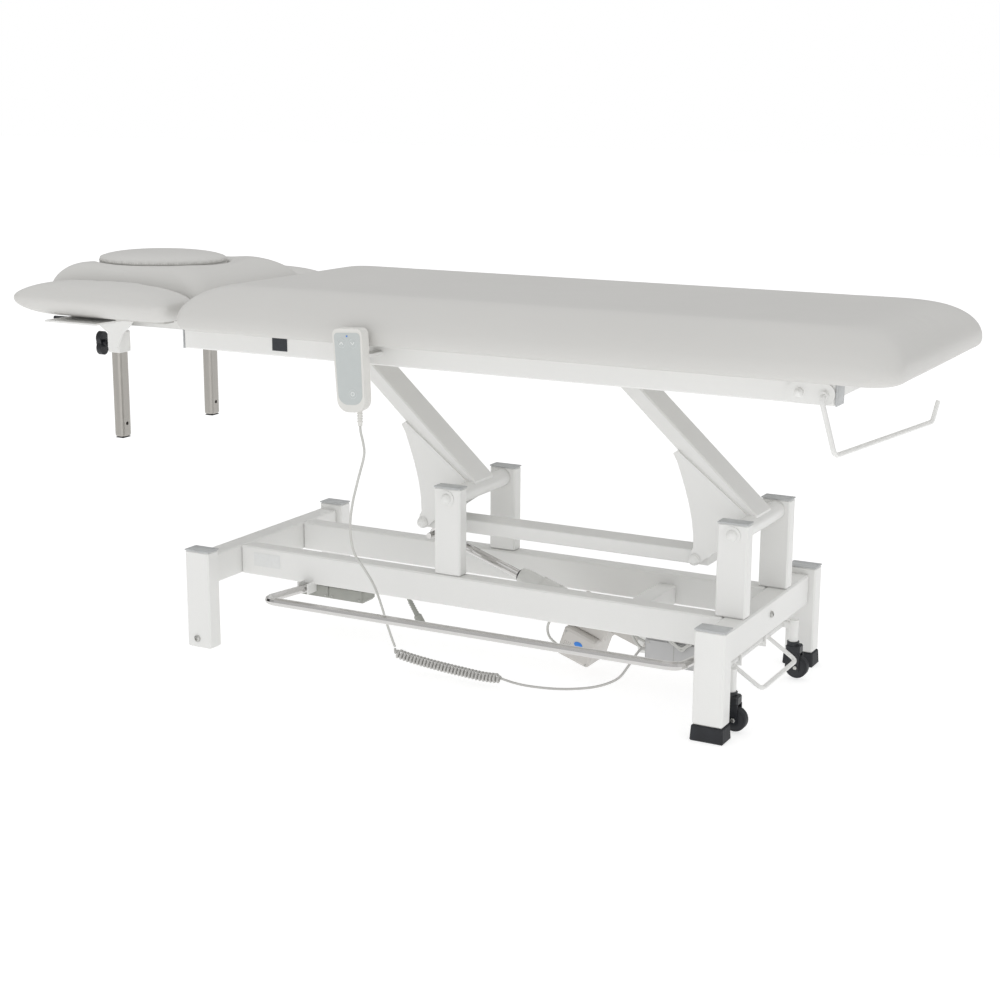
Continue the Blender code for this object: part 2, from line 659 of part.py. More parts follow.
def arm_bracket(side, sign):
    """A socket round the post, with a web and a shelf for the arm rest."""
    socket = box("arm_bracket_" + side, "white paint", (POST_X - 0.0165, POST_X + 0.0165),
                 (sign * POST_Y - 0.0190, sign * POST_Y + 0.0190), (0.599, 0.645), 0.002)
    boss = cylinder("knob_boss_" + side, "", 0.008, 0.010, (POST_X - 0.0195, sign * POST_Y, 0.615),
                    ALONG_X, 16,
                    cutter=True)
    web_outline = [(-0.924, 0.678), (-0.792, 0.678), (-0.812, 0.655), (-0.826, 0.644), (-0.843, 0.610),
                   (-0.868, 0.610), (-0.868, 0.643)]
    web = plate("web_" + side, "", web_outline, 0.005, (0, 0, 0), ALONG_Y, cutter=True)
    web.location = (0, sign * (POST_Y + 0.0200), 0)
    shelf_y = sorted((sign * (POST_Y + 0.0208), sign * 0.310))
    shelf = box("shelf_" + side, "", (-0.926, -0.790), shelf_y, (0.6765, TOP_RAIL_TOP), 0, cutter=True)
    join_to(socket, boss, web, shelf)
    bore = box("socket_bore_" + side, "", (POST_X - 0.0129, POST_X + 0.0129),
               (sign * POST_Y - 0.0154, sign * POST_Y + 0.0154), (0.55, 0.7), 0.006, 2, cutter=True)
    screw = cylinder("screw_hole_" + side, "", 0.0034, 0.03, (POST_X - 0.025, sign * POST_Y, 0.615),
                     ALONG_X, 16,
                     cutter=True)
    cut_from(socket, bore, screw)


def clamp_knob(side, sign):
    """A lobed knob on a clamping screw that runs along X."""
    lobes = []
    for step in range(36):
        a = 2 * pi * step / 36
        reach = 0.0185 + 0.0075 * cos(2 * a)
        lobes.append((reach * cos(a), reach * sin(a)))
    knob = plate("clamp_knob_" + side, "black plastic", lobes, 0.013, (0, 0, 0), (0, radians(90), 0))
    knob.location = (-0.9035, sign * POST_Y, 0.615)
    bevelled(knob, 0.003, 1)
    screw = cylinder("clamp_screw_" + side, "", 0.003, 0.036, (-0.8865, sign * POST_Y, 0.615), ALONG_X, 12,
                     cutter=True)
    join_to(knob, screw)


def head_lever():
    pivot_empty("head_lever_axis", (LEVER_X, -0.140, LEVER_Z))
    path = rounded_path([(LEVER_X, -0.1200, LEVER_Z), (LEVER_X, -0.184, LEVER_Z),
                         (-1.008, -0.190, LEVER_Z)], 0.014, 4)
    rod_along("head_lever", "black plastic", path, 0.0045, 2)


# ------------------------------------------------------------- accessories

def roll_holder():
    outline = []
    for centre, start in ((0.767, -90), (0.719, 90)):
        for step in range(11):
            a = radians(start + 18 * step)
            outline.append((centre + 0.019 * cos(a), 0.660 + 0.019 * sin(a)))
    base = plate("roll_holder", "white paint", outline, 0.004, (0, 0, 0), ALONG_Y)
    base.location = (0, -TOP_RAIL_OUTER_Y - GAP - 0.002, 0)
    face = -TOP_RAIL_OUTER_Y - 0.004
    dome = turned("plate_dome", "", [(0, 0.010), (0.004, 0.009), (0.0075, 0.005), (0.0085, 0), (0, -0.002)],
                  (0.723, face, 0.660), ALONG_Y, 16, cutter=True)
    boss = cylinder("plate_boss", "", 0.007, 0.010, (0.768, face - 0.003, 0.659), ALONG_Y, 16, cutter=True)
    path = rounded_path([(0.768, face, 0.659), (0.768, -0.292, 0.656), (0.797, -0.294, 0.560),
                         (0.857, 0.105, 0.560),
                         (0.862, 0.120, 0.598)], 0.012, 4)
    rod = rod_along("holder_rod", "", path, 0.0045, 2, cutter=True)
    join_to(base, dome, boss, rod)


def handset():
    """A hand control that hangs a little askew, with a rounder lower end and a cord gland."""
    outline = []
    corners = ((0.021, 0.0675, 0.012, 0), (-0.021, 0.0675, 0.012, 90),
               (-0.007, -0.0555, 0.024, 180), (0.007, -0.0555, 0.024, 270))
    for u, v, r, start in corners:
        for step in range(7):
            a = radians(start + 15 * step)
            outline.append((u + r * cos(a), v + r * sin(a)))
    lean = Matrix.Rotation(radians(HANDSET_LEAN), 2)
    outline = [tuple(lean @ Vector(point)) for point in outline]
    body = plate("handset", "grey plastic", outline, HANDSET_BACK_Y - HANDSET_FRONT_Y, (0, 0, 0), ALONG_Y)
    body.location = (HANDSET_X, (HANDSET_BACK_Y + HANDSET_FRONT_Y) / 2, HANDSET_Z)
    bevelled(body, 0.0055, 2)
    gland = cylinder("handset_gland", "", 0.0045, 0.030, (GLAND_X, -0.347, 0.550), (0, 0, 0), 16,
                     cutter=True)
    join_to(body, gland)


def handset_cord():
    upper = [(-0.1160, -0.3470, 0.5343), (-0.1150, -0.3467, 0.5220), (-0.1110, -0.3450, 0.5020),
             (-0.1125, -0.3400, 0.4760),
             (-0.1370, -0.3250, 0.4220), (-0.1640, -0.3040, 0.3670), (-0.1810, -0.2870, 0.3130),
             (-0.1840, -0.2700, 0.2600), (-0.1710, -0.2540, 0.2240), (-0.1570, -0.2400, 0.1880),
             (-0.1470, -0.2290, 0.1450), (-0.1410, -0.2180, 0.1040), (-0.1370, -0.2080, 0.0740),
             (-0.1330, -0.2010, 0.0520)]
    rod_along("cord_upper", "grey plastic", smooth_route(upper, 0.013), CORD_R, 2)
    coil = [(-0.1330, -0.2000, 0.0400), (-0.1000, -0.2000, 0.0335), (-0.0400, -0.2000, 0.0275),
            (0.0260, -0.2000, 0.0235), (0.0750, -0.2000, 0.0215), (0.1130, -0.2000, 0.0240)]
    rod_along("cord_coil", "grey plastic", smooth_route(coil, 0.022), COIL_R, 3)
    lower = [(0.1240, -0.2000, 0.0225), (0.1420, -0.1995, 0.0195), (0.1760, -0.1980, 0.0180),
             (0.2250, -0.1940, 0.0200), (0.2720, -0.1880, 0.0260), (0.3150, -0.1790, 0.0360),
             (0.3480, -0.1640, 0.0520), (0.3610, -0.1430, 0.0740), (0.3680, -0.1220, 0.0930),
             (0.3740, -0.1100, 0.1020), (0.3838, -0.1080, 0.1035)]
    rod_along("cord_lower", "grey plastic", smooth_route(lower, 0.013), CORD_R, 2)


def electrics():
    box("control_box", "grey plastic", (0.3850, 0.5200), (-0.1278, -0.0280), (0.0770, 0.1337), 0.008, 2)
    box("foot_switch_box", "grey plastic", (-0.4250, -0.2550), (-0.1270, -0.0770), (0.1040, 0.1337),
        0.006, 1)
    lead = turned("spare_plug", "grey plastic", [(0, 0.042), (0.0040, 0.042), (0.0052, 0.004),
                                                 (0.0085, 0.000),
                  (0.0085, -0.026), (0.0070, -0.030), (0, -0.030)], (-0.1330, -0.1100, 0.0930),
                  (0, radians(-32), 0), 20)
    return lead


def foot_bar():
    pivot_empty("foot_bar_axis", (0, BAR_HINGE_Y, BAR_HINGE_Z))
    path = rounded_path([(BAR_HEAD_X, BAR_HINGE_Y + 0.009, BAR_HINGE_Z), (BAR_HEAD_X, -0.300, 0.140),
                         (BAR_FOOT_X, -0.300, 0.1445), (BAR_FOOT_X, BAR_HINGE_Y + 0.009,
                                                        BAR_HINGE_Z)], 0.030, 6)
    bar = rod_along("foot_bar", "chrome", path, BAR_R, 3)
    for number, x in enumerate((BAR_HEAD_X, BAR_FOOT_X)):
        cut_from(bar, cylinder("bar_eye_%d" % number, "", 0.0039, 0.04, (x, BAR_HINGE_Y, BAR_HINGE_Z),
                               ALONG_X, 16,
                               cutter=True))


def castors():
    pivot_empty("castor_shaft_axis", (SHAFT_X, 0, SHAFT_Z))
    length = CASTOR_FAR_Y - CASTOR_NEAR_Y + 0.016
    middle = (CASTOR_FAR_Y + CASTOR_NEAR_Y) / 2
    shaft = cylinder("castor_shaft", "white paint", 0.008, length, (SHAFT_X, middle, SHAFT_Z), ALONG_Y, 20)
    pedal_path = rounded_path([(SHAFT_X, -0.135, SHAFT_Z), (0.630, -0.135, 0.070), (0.630, 0.060, 0.070),
                               (SHAFT_X, 0.060, SHAFT_Z)], 0.014, 4)
    pedal = rod_along("pedal_loop", "", pedal_path, 0.0045, 2, cutter=True)
    extras = [pedal]
    for number, y in enumerate((CASTOR_NEAR_Y, CASTOR_FAR_Y)):
        extras.append(box("shaft_arm_%d" % number, "", (SHAFT_X, CASTOR_X), (y - 0.007, y + 0.007),
                          (SHAFT_Z - 0.006, SHAFT_Z + 0.006), 0, cutter=True))
        extras.append(cylinder("stem_%d" % number, "", 0.0095, 0.044, (CASTOR_X, y, 0.1010), (0, 0, 0), 20,
                               cutter=True))
    join_to(shaft, *extras)
    for number, y in enumerate((CASTOR_NEAR_Y, CASTOR_FAR_Y)):
        cut_from(shaft, cylinder("king_pin_hole_%d" % number, "", 0.0046, 0.060, (CASTOR_X, y, 0.0720),
                                 (0, 0, 0), 20,
                                 cutter=True))
    for side, y in (("near", CASTOR_NEAR_Y), ("far", CASTOR_FAR_Y)):
        castor(side, y)


def castor(side, y):
    """A swivel fork with its axle, and the wheel on it."""
    fork = cylinder("castor_fork_" + side, "black plastic", 0.0125, 0.007, (CASTOR_X, y, 0.0751),
                    (0, 0, 0), 20)
    bridge = box("fork_bridge_" + side, "", (CASTOR_X - 0.012, WHEEL_X + 0.008), (y - 0.0125, y + 0.0125),
                 (0.0535, 0.0730), 0.003, 1, cutter=True)
    cheeks = []
    for number, sign in enumerate((-1, 1)):
        outline = [(CASTOR_X - 0.009, 0.056), (WHEEL_X + 0.008, 0.056), (WHEEL_X + 0.008, 0.020),
                   (WHEEL_X, 0.0175), (WHEEL_X - 0.008, 0.020)]
        cheek = plate("cheek_%s_%d" % (side, number), "", outline, 0.0026, (0, 0, 0), ALONG_Y, cutter=True)
        cheek.location = (0, y + sign * 0.0112, 0)
        cheeks.append(cheek)
    axle = cylinder("wheel_axle_" + side, "", 0.0028, 0.028, (WHEEL_X, y, WHEEL_Z), ALONG_Y, 12,
                    cutter=True)
    king_pin = cylinder("king_pin_" + side, "", 0.0042, 0.0300, (CASTOR_X, y, 0.0860), (0, 0, 0), 16,
                        cutter=True)
    join_to(fork, bridge, *cheeks, axle, king_pin)
    wheel = cylinder("castor_wheel_" + side, "black rubber", WHEEL_R, 0.0180, (WHEEL_X, y, WHEEL_Z),
                     ALONG_Y, 32,
                     edge=0.0025)
    bore = cylinder("wheel_bore_" + side, "", 0.0032, 0.03, (WHEEL_X, y, WHEEL_Z), ALONG_Y, 16, cutter=True)
    cut_from(wheel, bore)


base_frame()
for arm_end, arm_x in (("head", HEAD_PIVOT_X), ("foot", FOOT_PIVOT_X)):
    lift_arm(arm_end, arm_x)
link()
actuator()
upper_frame()
upholstery()
arm_rests()
head_lever()
roll_holder()
handset()
handset_cord()
electrics()
foot_bar()
castors()
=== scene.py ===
"""Examination couch: materials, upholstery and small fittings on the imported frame."""

from math import cos, pi, radians, sin

import bmesh
import bpy
import numpy as np
from mathutils import Matrix, Vector


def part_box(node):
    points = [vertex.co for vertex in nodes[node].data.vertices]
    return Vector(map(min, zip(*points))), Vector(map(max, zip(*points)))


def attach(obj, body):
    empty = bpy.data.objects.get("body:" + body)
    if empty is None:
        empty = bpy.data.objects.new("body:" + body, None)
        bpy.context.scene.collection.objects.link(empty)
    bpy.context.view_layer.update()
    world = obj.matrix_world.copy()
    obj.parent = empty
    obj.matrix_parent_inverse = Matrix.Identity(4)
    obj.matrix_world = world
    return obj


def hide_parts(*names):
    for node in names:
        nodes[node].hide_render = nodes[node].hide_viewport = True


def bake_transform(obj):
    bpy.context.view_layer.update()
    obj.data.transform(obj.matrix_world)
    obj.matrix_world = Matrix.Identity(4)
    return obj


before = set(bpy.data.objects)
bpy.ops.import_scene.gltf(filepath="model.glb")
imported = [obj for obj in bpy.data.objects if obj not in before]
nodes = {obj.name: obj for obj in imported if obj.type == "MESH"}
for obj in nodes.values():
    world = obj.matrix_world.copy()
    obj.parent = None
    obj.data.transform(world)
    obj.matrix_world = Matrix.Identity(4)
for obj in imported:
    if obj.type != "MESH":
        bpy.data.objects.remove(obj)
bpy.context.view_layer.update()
scene = bpy.context.scene
scene.view_settings.view_transform = "Standard"

# The dimensions below are measured from the middle of the base frame.
SHIFT = Vector((0.0575, 0.0175, 0.0))


def at(x, y, z):
    return Vector((x, y, z)) + SHIFT


# ---------------------------------------------------------------- camera and light

CAMERA_PLACE = at(1.6689, -3.1158, 1.1562)
CAMERA_YAW = 28.166
CAMERA_PITCH = -13.107
CAMERA_ROLL = 0.310
CAMERA_LENS = 63.25
HORIZON = 0.33
ZENITH = 0.94
KEY_WATTS = 20
SIDE_WATTS = 5


def add_camera():
    yaw, pitch, roll = radians(CAMERA_YAW), radians(CAMERA_PITCH), radians(CAMERA_ROLL)
    ahead = Vector((-sin(yaw) * cos(pitch), cos(yaw) * cos(pitch), sin(pitch)))
    level = Vector((cos(yaw), sin(yaw), 0))
    up = level.cross(ahead)
    right = level * cos(roll) + up * sin(roll)
    top = up * cos(roll) - level * sin(roll)
    data = bpy.data.cameras.new("camera")
    data.lens = CAMERA_LENS
    data.sensor_width = 36
    camera = bpy.data.objects.new("camera", data)
    scene.collection.objects.link(camera)
    camera.matrix_world = Matrix((
        (right.x, top.x, -ahead.x, CAMERA_PLACE.x),
        (right.y, top.y, -ahead.y, CAMERA_PLACE.y),
        (right.z, top.z, -ahead.z, CAMERA_PLACE.z),
        (0, 0, 0, 1),
    ))
    scene.camera = camera


def add_area(name, place, target, size, watts):
    data = bpy.data.lights.new(name, "AREA")
    data.shape = "RECTANGLE"
    data.size, data.size_y = size
    data.energy = watts
    lamp = bpy.data.objects.new(name, data)
    lamp.location = place
    lamp.rotation_euler = (Vector(target) - Vector(place)).to_track_quat("-Z", "Y").to_euler()
    scene.collection.objects.link(lamp)


def add_light():
    """A studio world, darker towards the horizon, with two soft area lights."""
    world = bpy.data.worlds.new("studio")
    world.use_nodes = True
    world.node_tree.nodes["Background"].inputs["Color"].default_value = (1, 1, 1, 1)
    tree = world.node_tree
    background = tree.nodes["Background"]
    seen = tree.nodes.new("ShaderNodeLightPath")
    place = tree.nodes.new("ShaderNodeTexCoord")
    parts = tree.nodes.new("ShaderNodeSeparateXYZ")
    tree.links.new(place.outputs["Generated"], parts.inputs["Vector"])
    height = tree.nodes.new("ShaderNodeMapRange")
    height.inputs["From Max"].default_value = 0.7
    height.inputs["To Min"].default_value = HORIZON
    height.inputs["To Max"].default_value = ZENITH
    tree.links.new(parts.outputs["Z"], height.inputs["Value"])
    strength = tree.nodes.new("ShaderNodeMapRange")
    strength.inputs["To Max"].default_value = 1.0
    tree.links.new(seen.outputs["Is Camera Ray"], strength.inputs["Value"])
    tree.links.new(height.outputs["Result"], strength.inputs["To Min"])
    band = tree.nodes.new("ShaderNodeValToRGB")
    for place, value in ((0.03, 0.85), (0.07, 0.10), (0.26, 0.10), (0.33, 1.0)):
        band.color_ramp.elements.new(place).color = (value, value, value, 1)
    band.color_ramp.elements[0].color = (0.85, 0.85, 0.85, 1)
    tree.links.new(parts.outputs["Z"], band.inputs["Fac"])
    glossy = tree.nodes.new("ShaderNodeMapRange")
    glossy.inputs["To Min"].default_value = 1.0
    tree.links.new(seen.outputs["Is Glossy Ray"], glossy.inputs["Value"])
    tree.links.new(band.outputs["Color"], glossy.inputs["To Max"])
    product = tree.nodes.new("ShaderNodeMath")
    product.operation = "MULTIPLY"
    tree.links.new(strength.outputs["Result"], product.inputs[0])
    tree.links.new(glossy.outputs["Result"], product.inputs[1])
    tree.links.new(product.outputs["Value"], background.inputs["Strength"])
    scene.world = world
    add_area("key", (0.8, -4.4, 0.9), (0, 0, 0.35), (3.2, 1.6), KEY_WATTS)
    add_area("side", (4.2, -0.8, 0.7), (0, 0, 0.3), (1.8, 1.4), SIDE_WATTS)


def add_floor():
    bpy.ops.mesh.primitive_plane_add(size=60, location=(0, 0, -0.0005))
    floor = bpy.context.object
    floor.name = "floor"
    mat = bpy.data.materials.new("floor")
    mat.use_nodes = True
    shader = mat.node_tree.nodes["Principled BSDF"]
    shader.inputs["Base Color"].default_value = (0.5, 0.5, 0.5, 1)
    shader.inputs["Roughness"].default_value = 1.0
    shader.inputs["Specular IOR Level"].default_value = 0.0
    shader.inputs["Emission Color"].default_value = (1, 1, 1, 1)
    shader.inputs["Emission Strength"].default_value = 0.68
    floor.data.materials.append(mat)


# ---------------------------------------------------------------- materials

def material(name, colour, rough, metallic=0.0, mottle=0.03, mottle_scale=5.0, rough_spread=0.06,
             grain=None, coat=0.0, sheen=0.0, stretch=(1, 1, 1), specular=0.5):
    """A surface with slight colour mottling, varied roughness and a fine bump.

    grain is a list of (kind, scale, strength, depth in metres)."""
    mat = bpy.data.materials.new(name)
    mat.use_nodes = True
    tree = mat.node_tree
    shader = tree.nodes["Principled BSDF"]
    shader.inputs["Metallic"].default_value = metallic
    shader.inputs["Coat Weight"].default_value = coat
    shader.inputs["Coat Roughness"].default_value = 0.15
    shader.inputs["Sheen Weight"].default_value = sheen
    shader.inputs["Specular IOR Level"].default_value = specular
    place = tree.nodes.new("ShaderNodeTexCoord")
    mapping = tree.nodes.new("ShaderNodeMapping")
    mapping.inputs["Scale"].default_value = stretch
    tree.links.new(place.outputs["Object"], mapping.inputs["Vector"])

    def noise(scale, detail=4.0):
        node = tree.nodes.new("ShaderNodeTexNoise")
        node.inputs["Scale"].default_value = scale
        node.inputs["Detail"].default_value = detail
        tree.links.new(mapping.outputs["Vector"], node.inputs["Vector"])
        return node

    cloud = noise(mottle_scale)
    ramp = tree.nodes.new("ShaderNodeValToRGB")
    ramp.color_ramp.elements[0].position = 0.3
    ramp.color_ramp.elements[1].position = 0.7
    dark = [c * (1 - mottle) for c in colour]
    light = [min(1.0, c * (1 + mottle)) for c in colour]
    ramp.color_ramp.elements[0].color = (*dark, 1)
    ramp.color_ramp.elements[1].color = (*light, 1)
    tree.links.new(cloud.outputs["Fac"], ramp.inputs["Fac"])
    tree.links.new(ramp.outputs["Color"], shader.inputs["Base Color"])
    patches = noise(mottle_scale * 7, 6.0)
    spread = tree.nodes.new("ShaderNodeMapRange")
    spread.inputs["To Min"].default_value = max(0.02, rough - rough_spread)
    spread.inputs["To Max"].default_value = min(1.0, rough + rough_spread)
    tree.links.new(patches.outputs["Fac"], spread.inputs["Value"])
    tree.links.new(spread.outputs["Result"], shader.inputs["Roughness"])
    last = None
    for kind, scale, strength, depth in grain or []:
        if kind == "noise":
            source = noise(scale, 3.0).outputs["Fac"]
        else:
            cells = tree.nodes.new("ShaderNodeTexVoronoi")
            cells.feature = "DISTANCE_TO_EDGE" if kind == "leather" else "F1"
            cells.inputs["Scale"].default_value = scale
            tree.links.new(mapping.outputs["Vector"], cells.inputs["Vector"])
            source = cells.outputs["Distance"]
        bump = tree.nodes.new("ShaderNodeBump")
        bump.inputs["Strength"].default_value = strength
        bump.inputs["Distance"].default_value = depth
        tree.links.new(source, bump.inputs["Height"])
        if last:
            tree.links.new(last.outputs["Normal"], bump.inputs["Normal"])
        last = bump
    if last:
        tree.links.new(last.outputs["Normal"], shader.inputs["Normal"])
    return mat


def linear(red, green, blue):
    """An sRGB colour out of 255 as the linear colour that shaders use."""
    out = []
    for value in (red, green, blue):
        c = value / 255
        out.append(c / 12.92 if c <= 0.04045 else ((c + 0.055) / 1.055) ** 2.4)
    return out


PAINT = material("white powder coat", linear(233, 233, 231), 0.38, mottle=0.012, mottle_scale=3.0,
                 grain=[("noise", 900, 0.10, 0.0004), ("noise", 220, 0.06, 0.0006)])
VINYL = material("light grey vinyl", linear(210, 209, 206), 0.52, mottle=0.015, mottle_scale=2.2,
                 grain=[("leather", 620, 0.16, 0.0006), ("noise", 38, 0.05, 0.0015)], sheen=0.05)
VINYL_DARK = material("vinyl piping", linear(190, 189, 185), 0.55, mottle=0.02, mottle_scale=20,
                      grain=[("leather", 700, 0.2, 0.0005)])
BOARD = material("wrapped board", linear(200, 199, 195), 0.6, mottle=0.03, mottle_scale=8,
                 grain=[("leather", 500, 0.2, 0.0005)])
THREAD = material("stitching thread", linear(238, 238, 234), 0.8, mottle=0.05, mottle_scale=400,
                  grain=[("noise", 2500, 0.4, 0.0002)], sheen=0.2)
CHROME = material("polished chrome", (0.62, 0.61, 0.60), 0.08, metallic=1.0, mottle=0.02, mottle_scale=12,
                  rough_spread=0.04, grain=[("noise", 60, 0.03, 0.0004)])
STAINLESS = material("brushed stainless steel", (0.40, 0.385, 0.36), 0.30, metallic=1.0, mottle=0.05,
                     mottle_scale=14, rough_spread=0.08, stretch=(30, 30, 0.8),
                     grain=[("noise", 60, 0.12, 0.0003)])
STEEL = material("zinc plated steel", (0.55, 0.55, 0.53), 0.32, metallic=1.0, mottle=0.08, mottle_scale=90,
                 grain=[("noise", 500, 0.12, 0.0003)])
RUBBER = material("black rubber", linear(30, 32, 37), 0.62, mottle=0.25, mottle_scale=40,
                  grain=[("noise", 800, 0.3, 0.0005)])
BLACK = material("black nylon", linear(26, 28, 33), 0.42, mottle=0.15, mottle_scale=60,
                 grain=[("noise", 1200, 0.16, 0.0003)])
CAP_GREY = material("grey cap plastic", linear(190, 192, 193), 0.45, mottle=0.03, mottle_scale=50,
                    grain=[("noise", 1100, 0.16, 0.0003)])
CASE_GREY = material("grey housing plastic", linear(184, 184, 184), 0.48, mottle=0.03, mottle_scale=30,
                     grain=[("cells", 1400, 0.14, 0.0003)])
SWITCH_GREY = material("switch housing plastic", linear(158, 159, 153), 0.5, mottle=0.04, mottle_scale=30,
                       grain=[("cells", 1300, 0.14, 0.0003)])
MOTOR_IVORY = material("motor housing plastic", linear(203, 200, 196), 0.42, mottle=0.02, mottle_scale=25,
                       grain=[("cells", 1500, 0.12, 0.0003)])
SLEEVE = material("sleeve plastic", linear(214, 214, 211), 0.36, mottle=0.02, mottle_scale=30,
                  grain=[("noise", 900, 0.08, 0.0003)])
HANDSET_GREY = material("handset plastic", linear(222, 221, 217), 0.42, mottle=0.015, mottle_scale=30,
                        grain=[("cells", 1600, 0.12, 0.0002)])
MEMBRANE = material("keypad film", linear(192, 197, 196), 0.33, mottle=0.012, mottle_scale=60,
                    grain=[("noise", 1800, 0.07, 0.0002)])
KEY_MARK = material("key print", linear(238, 240, 239), 0.4, mottle=0.02, mottle_scale=100,
                    grain=[("noise", 2000, 0.06, 0.0002)])
KEY_RIM = material("key rim", linear(214, 218, 218), 0.4, mottle=0.03, mottle_scale=100,
                   grain=[("noise", 2000, 0.06, 0.0002)])
LABEL_BLUE = material("blue blank label", linear(52, 130, 218), 0.35, mottle=0.05, mottle_scale=120,
                      grain=[("noise", 1500, 0.05, 0.0002)])
LABEL_WHITE = material("white blank label", linear(226, 227, 226), 0.30, mottle=0.02, mottle_scale=120,
                       grain=[("noise", 1500, 0.05, 0.0002)])
TAG_BLACK = material("black woven tag", linear(46, 50, 55), 0.75, mottle=0.2, mottle_scale=300,
                     grain=[("noise", 1500, 0.4, 0.0003)], sheen=0.2)
CORD_GREY = material("cord sheath", linear(198, 198, 194), 0.42, mottle=0.03, mottle_scale=60,
                     grain=[("noise", 1500, 0.12, 0.0002)])
COIL_GREY = material("coiled cord sheath", linear(190, 189, 186), 0.40, mottle=0.04, mottle_scale=60,
                     grain=[("noise", 1500, 0.12, 0.0002)])

PAINTED = (
    "base_rail_near base_rail_far crossbeam_head crossbeam_foot leg_head_near leg_head_far leg_foot_near "
    "leg_foot_far upright_head_near upright_head_far upright_foot_near upright_foot_far pivot_axle_head "
    "pivot_axle_foot actuator_crossmember lift_arm_head lift_arm_foot link_bar link_pin_head link_pin_foot "
    "top_rail_near top_rail_far top_cross_head top_cross_foot head_frame arm_bracket_near arm_bracket_far "
    "castor_shaft roll_holder"
).split()
NODE_MATERIALS = {
    "rubber_foot_near": RUBBER, "rubber_foot_far": RUBBER, "castor_wheel_near": RUBBER,
    "castor_wheel_far": RUBBER, "roller_near": BLACK, "roller_far": BLACK, "clamp_knob_near": BLACK,
    "clamp_knob_far": BLACK, "castor_fork_near": BLACK, "castor_fork_far": BLACK, "head_lever": BLACK,
    "control_box": CASE_GREY, "foot_switch_box": SWITCH_GREY, "spare_plug": SWITCH_GREY,
    "actuator_tube": SLEEVE, "actuator_motor_housing": MOTOR_IVORY, "handset": HANDSET_GREY,
    "actuator_rod": CHROME, "foot_bar": CHROME, "arm_post_near": STAINLESS, "arm_post_far": STAINLESS,
    "main_board": BOARD, "head_board": BOARD,
}
NODE_MATERIALS.update({name: PAINT for name in PAINTED})


def paint_nodes():
    for name, mat in NODE_MATERIALS.items():
        node = nodes[name]
        node.data.materials.clear()
        node.data.materials.append(mat)


# ---------------------------------------------------------------- building pieces

def link(name, mesh, mat, body, smooth=35):
    piece = bpy.data.objects.new(name, mesh)
    scene.collection.objects.link(piece)
    mesh.materials.append(mat)
    if smooth:
        mesh.shade_smooth()
        mesh.set_sharp_from_angle(angle=radians(smooth))
    if body:
        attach(piece, body)
    return piece


def from_bmesh(name, bm, mat, body, smooth=35):
    bmesh.ops.recalc_face_normals(bm, faces=bm.faces)
    mesh = bpy.data.meshes.new(name)
    bm.to_mesh(mesh)
    bm.free()
    return link(name, mesh, mat, body, smooth)


def soft_box(name, lo, hi, radius, mat, body, segments=3, turn=None):
    """A moulded block with rounded edges, from its corners, turned about its middle if asked."""
    lo, hi = Vector(lo), Vector(hi)
    bm = bmesh.new()
    bmesh.ops.create_cube(bm, size=1.0)
    bmesh.ops.scale(bm, vec=hi - lo, verts=bm.verts)
    if radius:
        bmesh.ops.bevel(bm, geom=bm.edges[:] + bm.verts[:], offset=radius, segments=segments, profile=0.5,
                        affect="EDGES")
    if turn:
        bmesh.ops.rotate(bm, cent=(0, 0, 0), matrix=turn.to_matrix(), verts=bm.verts)
    bmesh.ops.translate(bm, vec=(lo + hi) / 2, verts=bm.verts)
    return from_bmesh(name, bm, mat, body)


def lathe(name, profile, place, axis, mat, body, steps=32):
    """A round piece from (radius, height) points, closed where the radius is 0."""
    bm = bmesh.new()
    turn = Vector(axis).to_track_quat("Z", "Y")
    rings = []
    for radius, height in profile:
        if radius < 1e-6:
            rings.append([bm.verts.new(Vector(place) + turn @ Vector((0, 0, height)))])
            continue
        rings.append([
            bm.verts.new(Vector(place) + turn @ Vector((radius * cos(2 * pi * i / steps),
                                                      radius * sin(2 * pi * i / steps), height)))
            for i in range(steps)
        ])
    for lower, upper in zip(rings, rings[1:]):
        if len(lower) == 1 and len(upper) == 1:
            continue
        for i in range(steps):
            j = (i + 1) % steps
            if len(lower) == 1:
                bm.faces.new((lower[0], upper[i], upper[j]))
            elif len(upper) == 1:
                bm.faces.new((lower[i], lower[j], upper[0]))
            else:
                bm.faces.new((lower[i], lower[j], upper[j], upper[i]))
    return from_bmesh(name, bm, mat, body)


def smooth_line(points, steps=10):
    """A smooth curve through the points, as a list of close points."""
    route = [Vector(p) for p in points]
    line = []
    for i in range(len(route) - 1):
        before = route[max(i - 1, 0)]
        start, end = route[i], route[i + 1]
        after = route[min(i + 2, len(route) - 1)]
        for step in range(steps):
            t = step / steps
            a, b = (end - before) / 2, (after - start) / 2
            h = 2 * t ** 3 - 3 * t ** 2 + 1
            line.append(start * h + a * (t ** 3 - 2 * t ** 2 + t) + end * (1 - h) + b * (t ** 3 - t ** 2))
    line.append(route[-1])
    return line


def even_line(line, spacing):
    """The same line as points that are evenly spaced along it."""
    lengths = [0.0]
    for a, b in zip(line, line[1:]):
        lengths.append(lengths[-1] + (b - a).length)
    count = max(2, round(lengths[-1] / spacing))
    out = []
    index = 0
    for step in range(count + 1):
        want = lengths[-1] * step / count
        while index < len(line) - 2 and lengths[index + 1] < want:
            index += 1
        span = lengths[index + 1] - lengths[index]
        t = 0 if span == 0 else (want - lengths[index]) / span
        out.append(line[index].lerp(line[index + 1], min(max(t, 0), 1)))
    return out


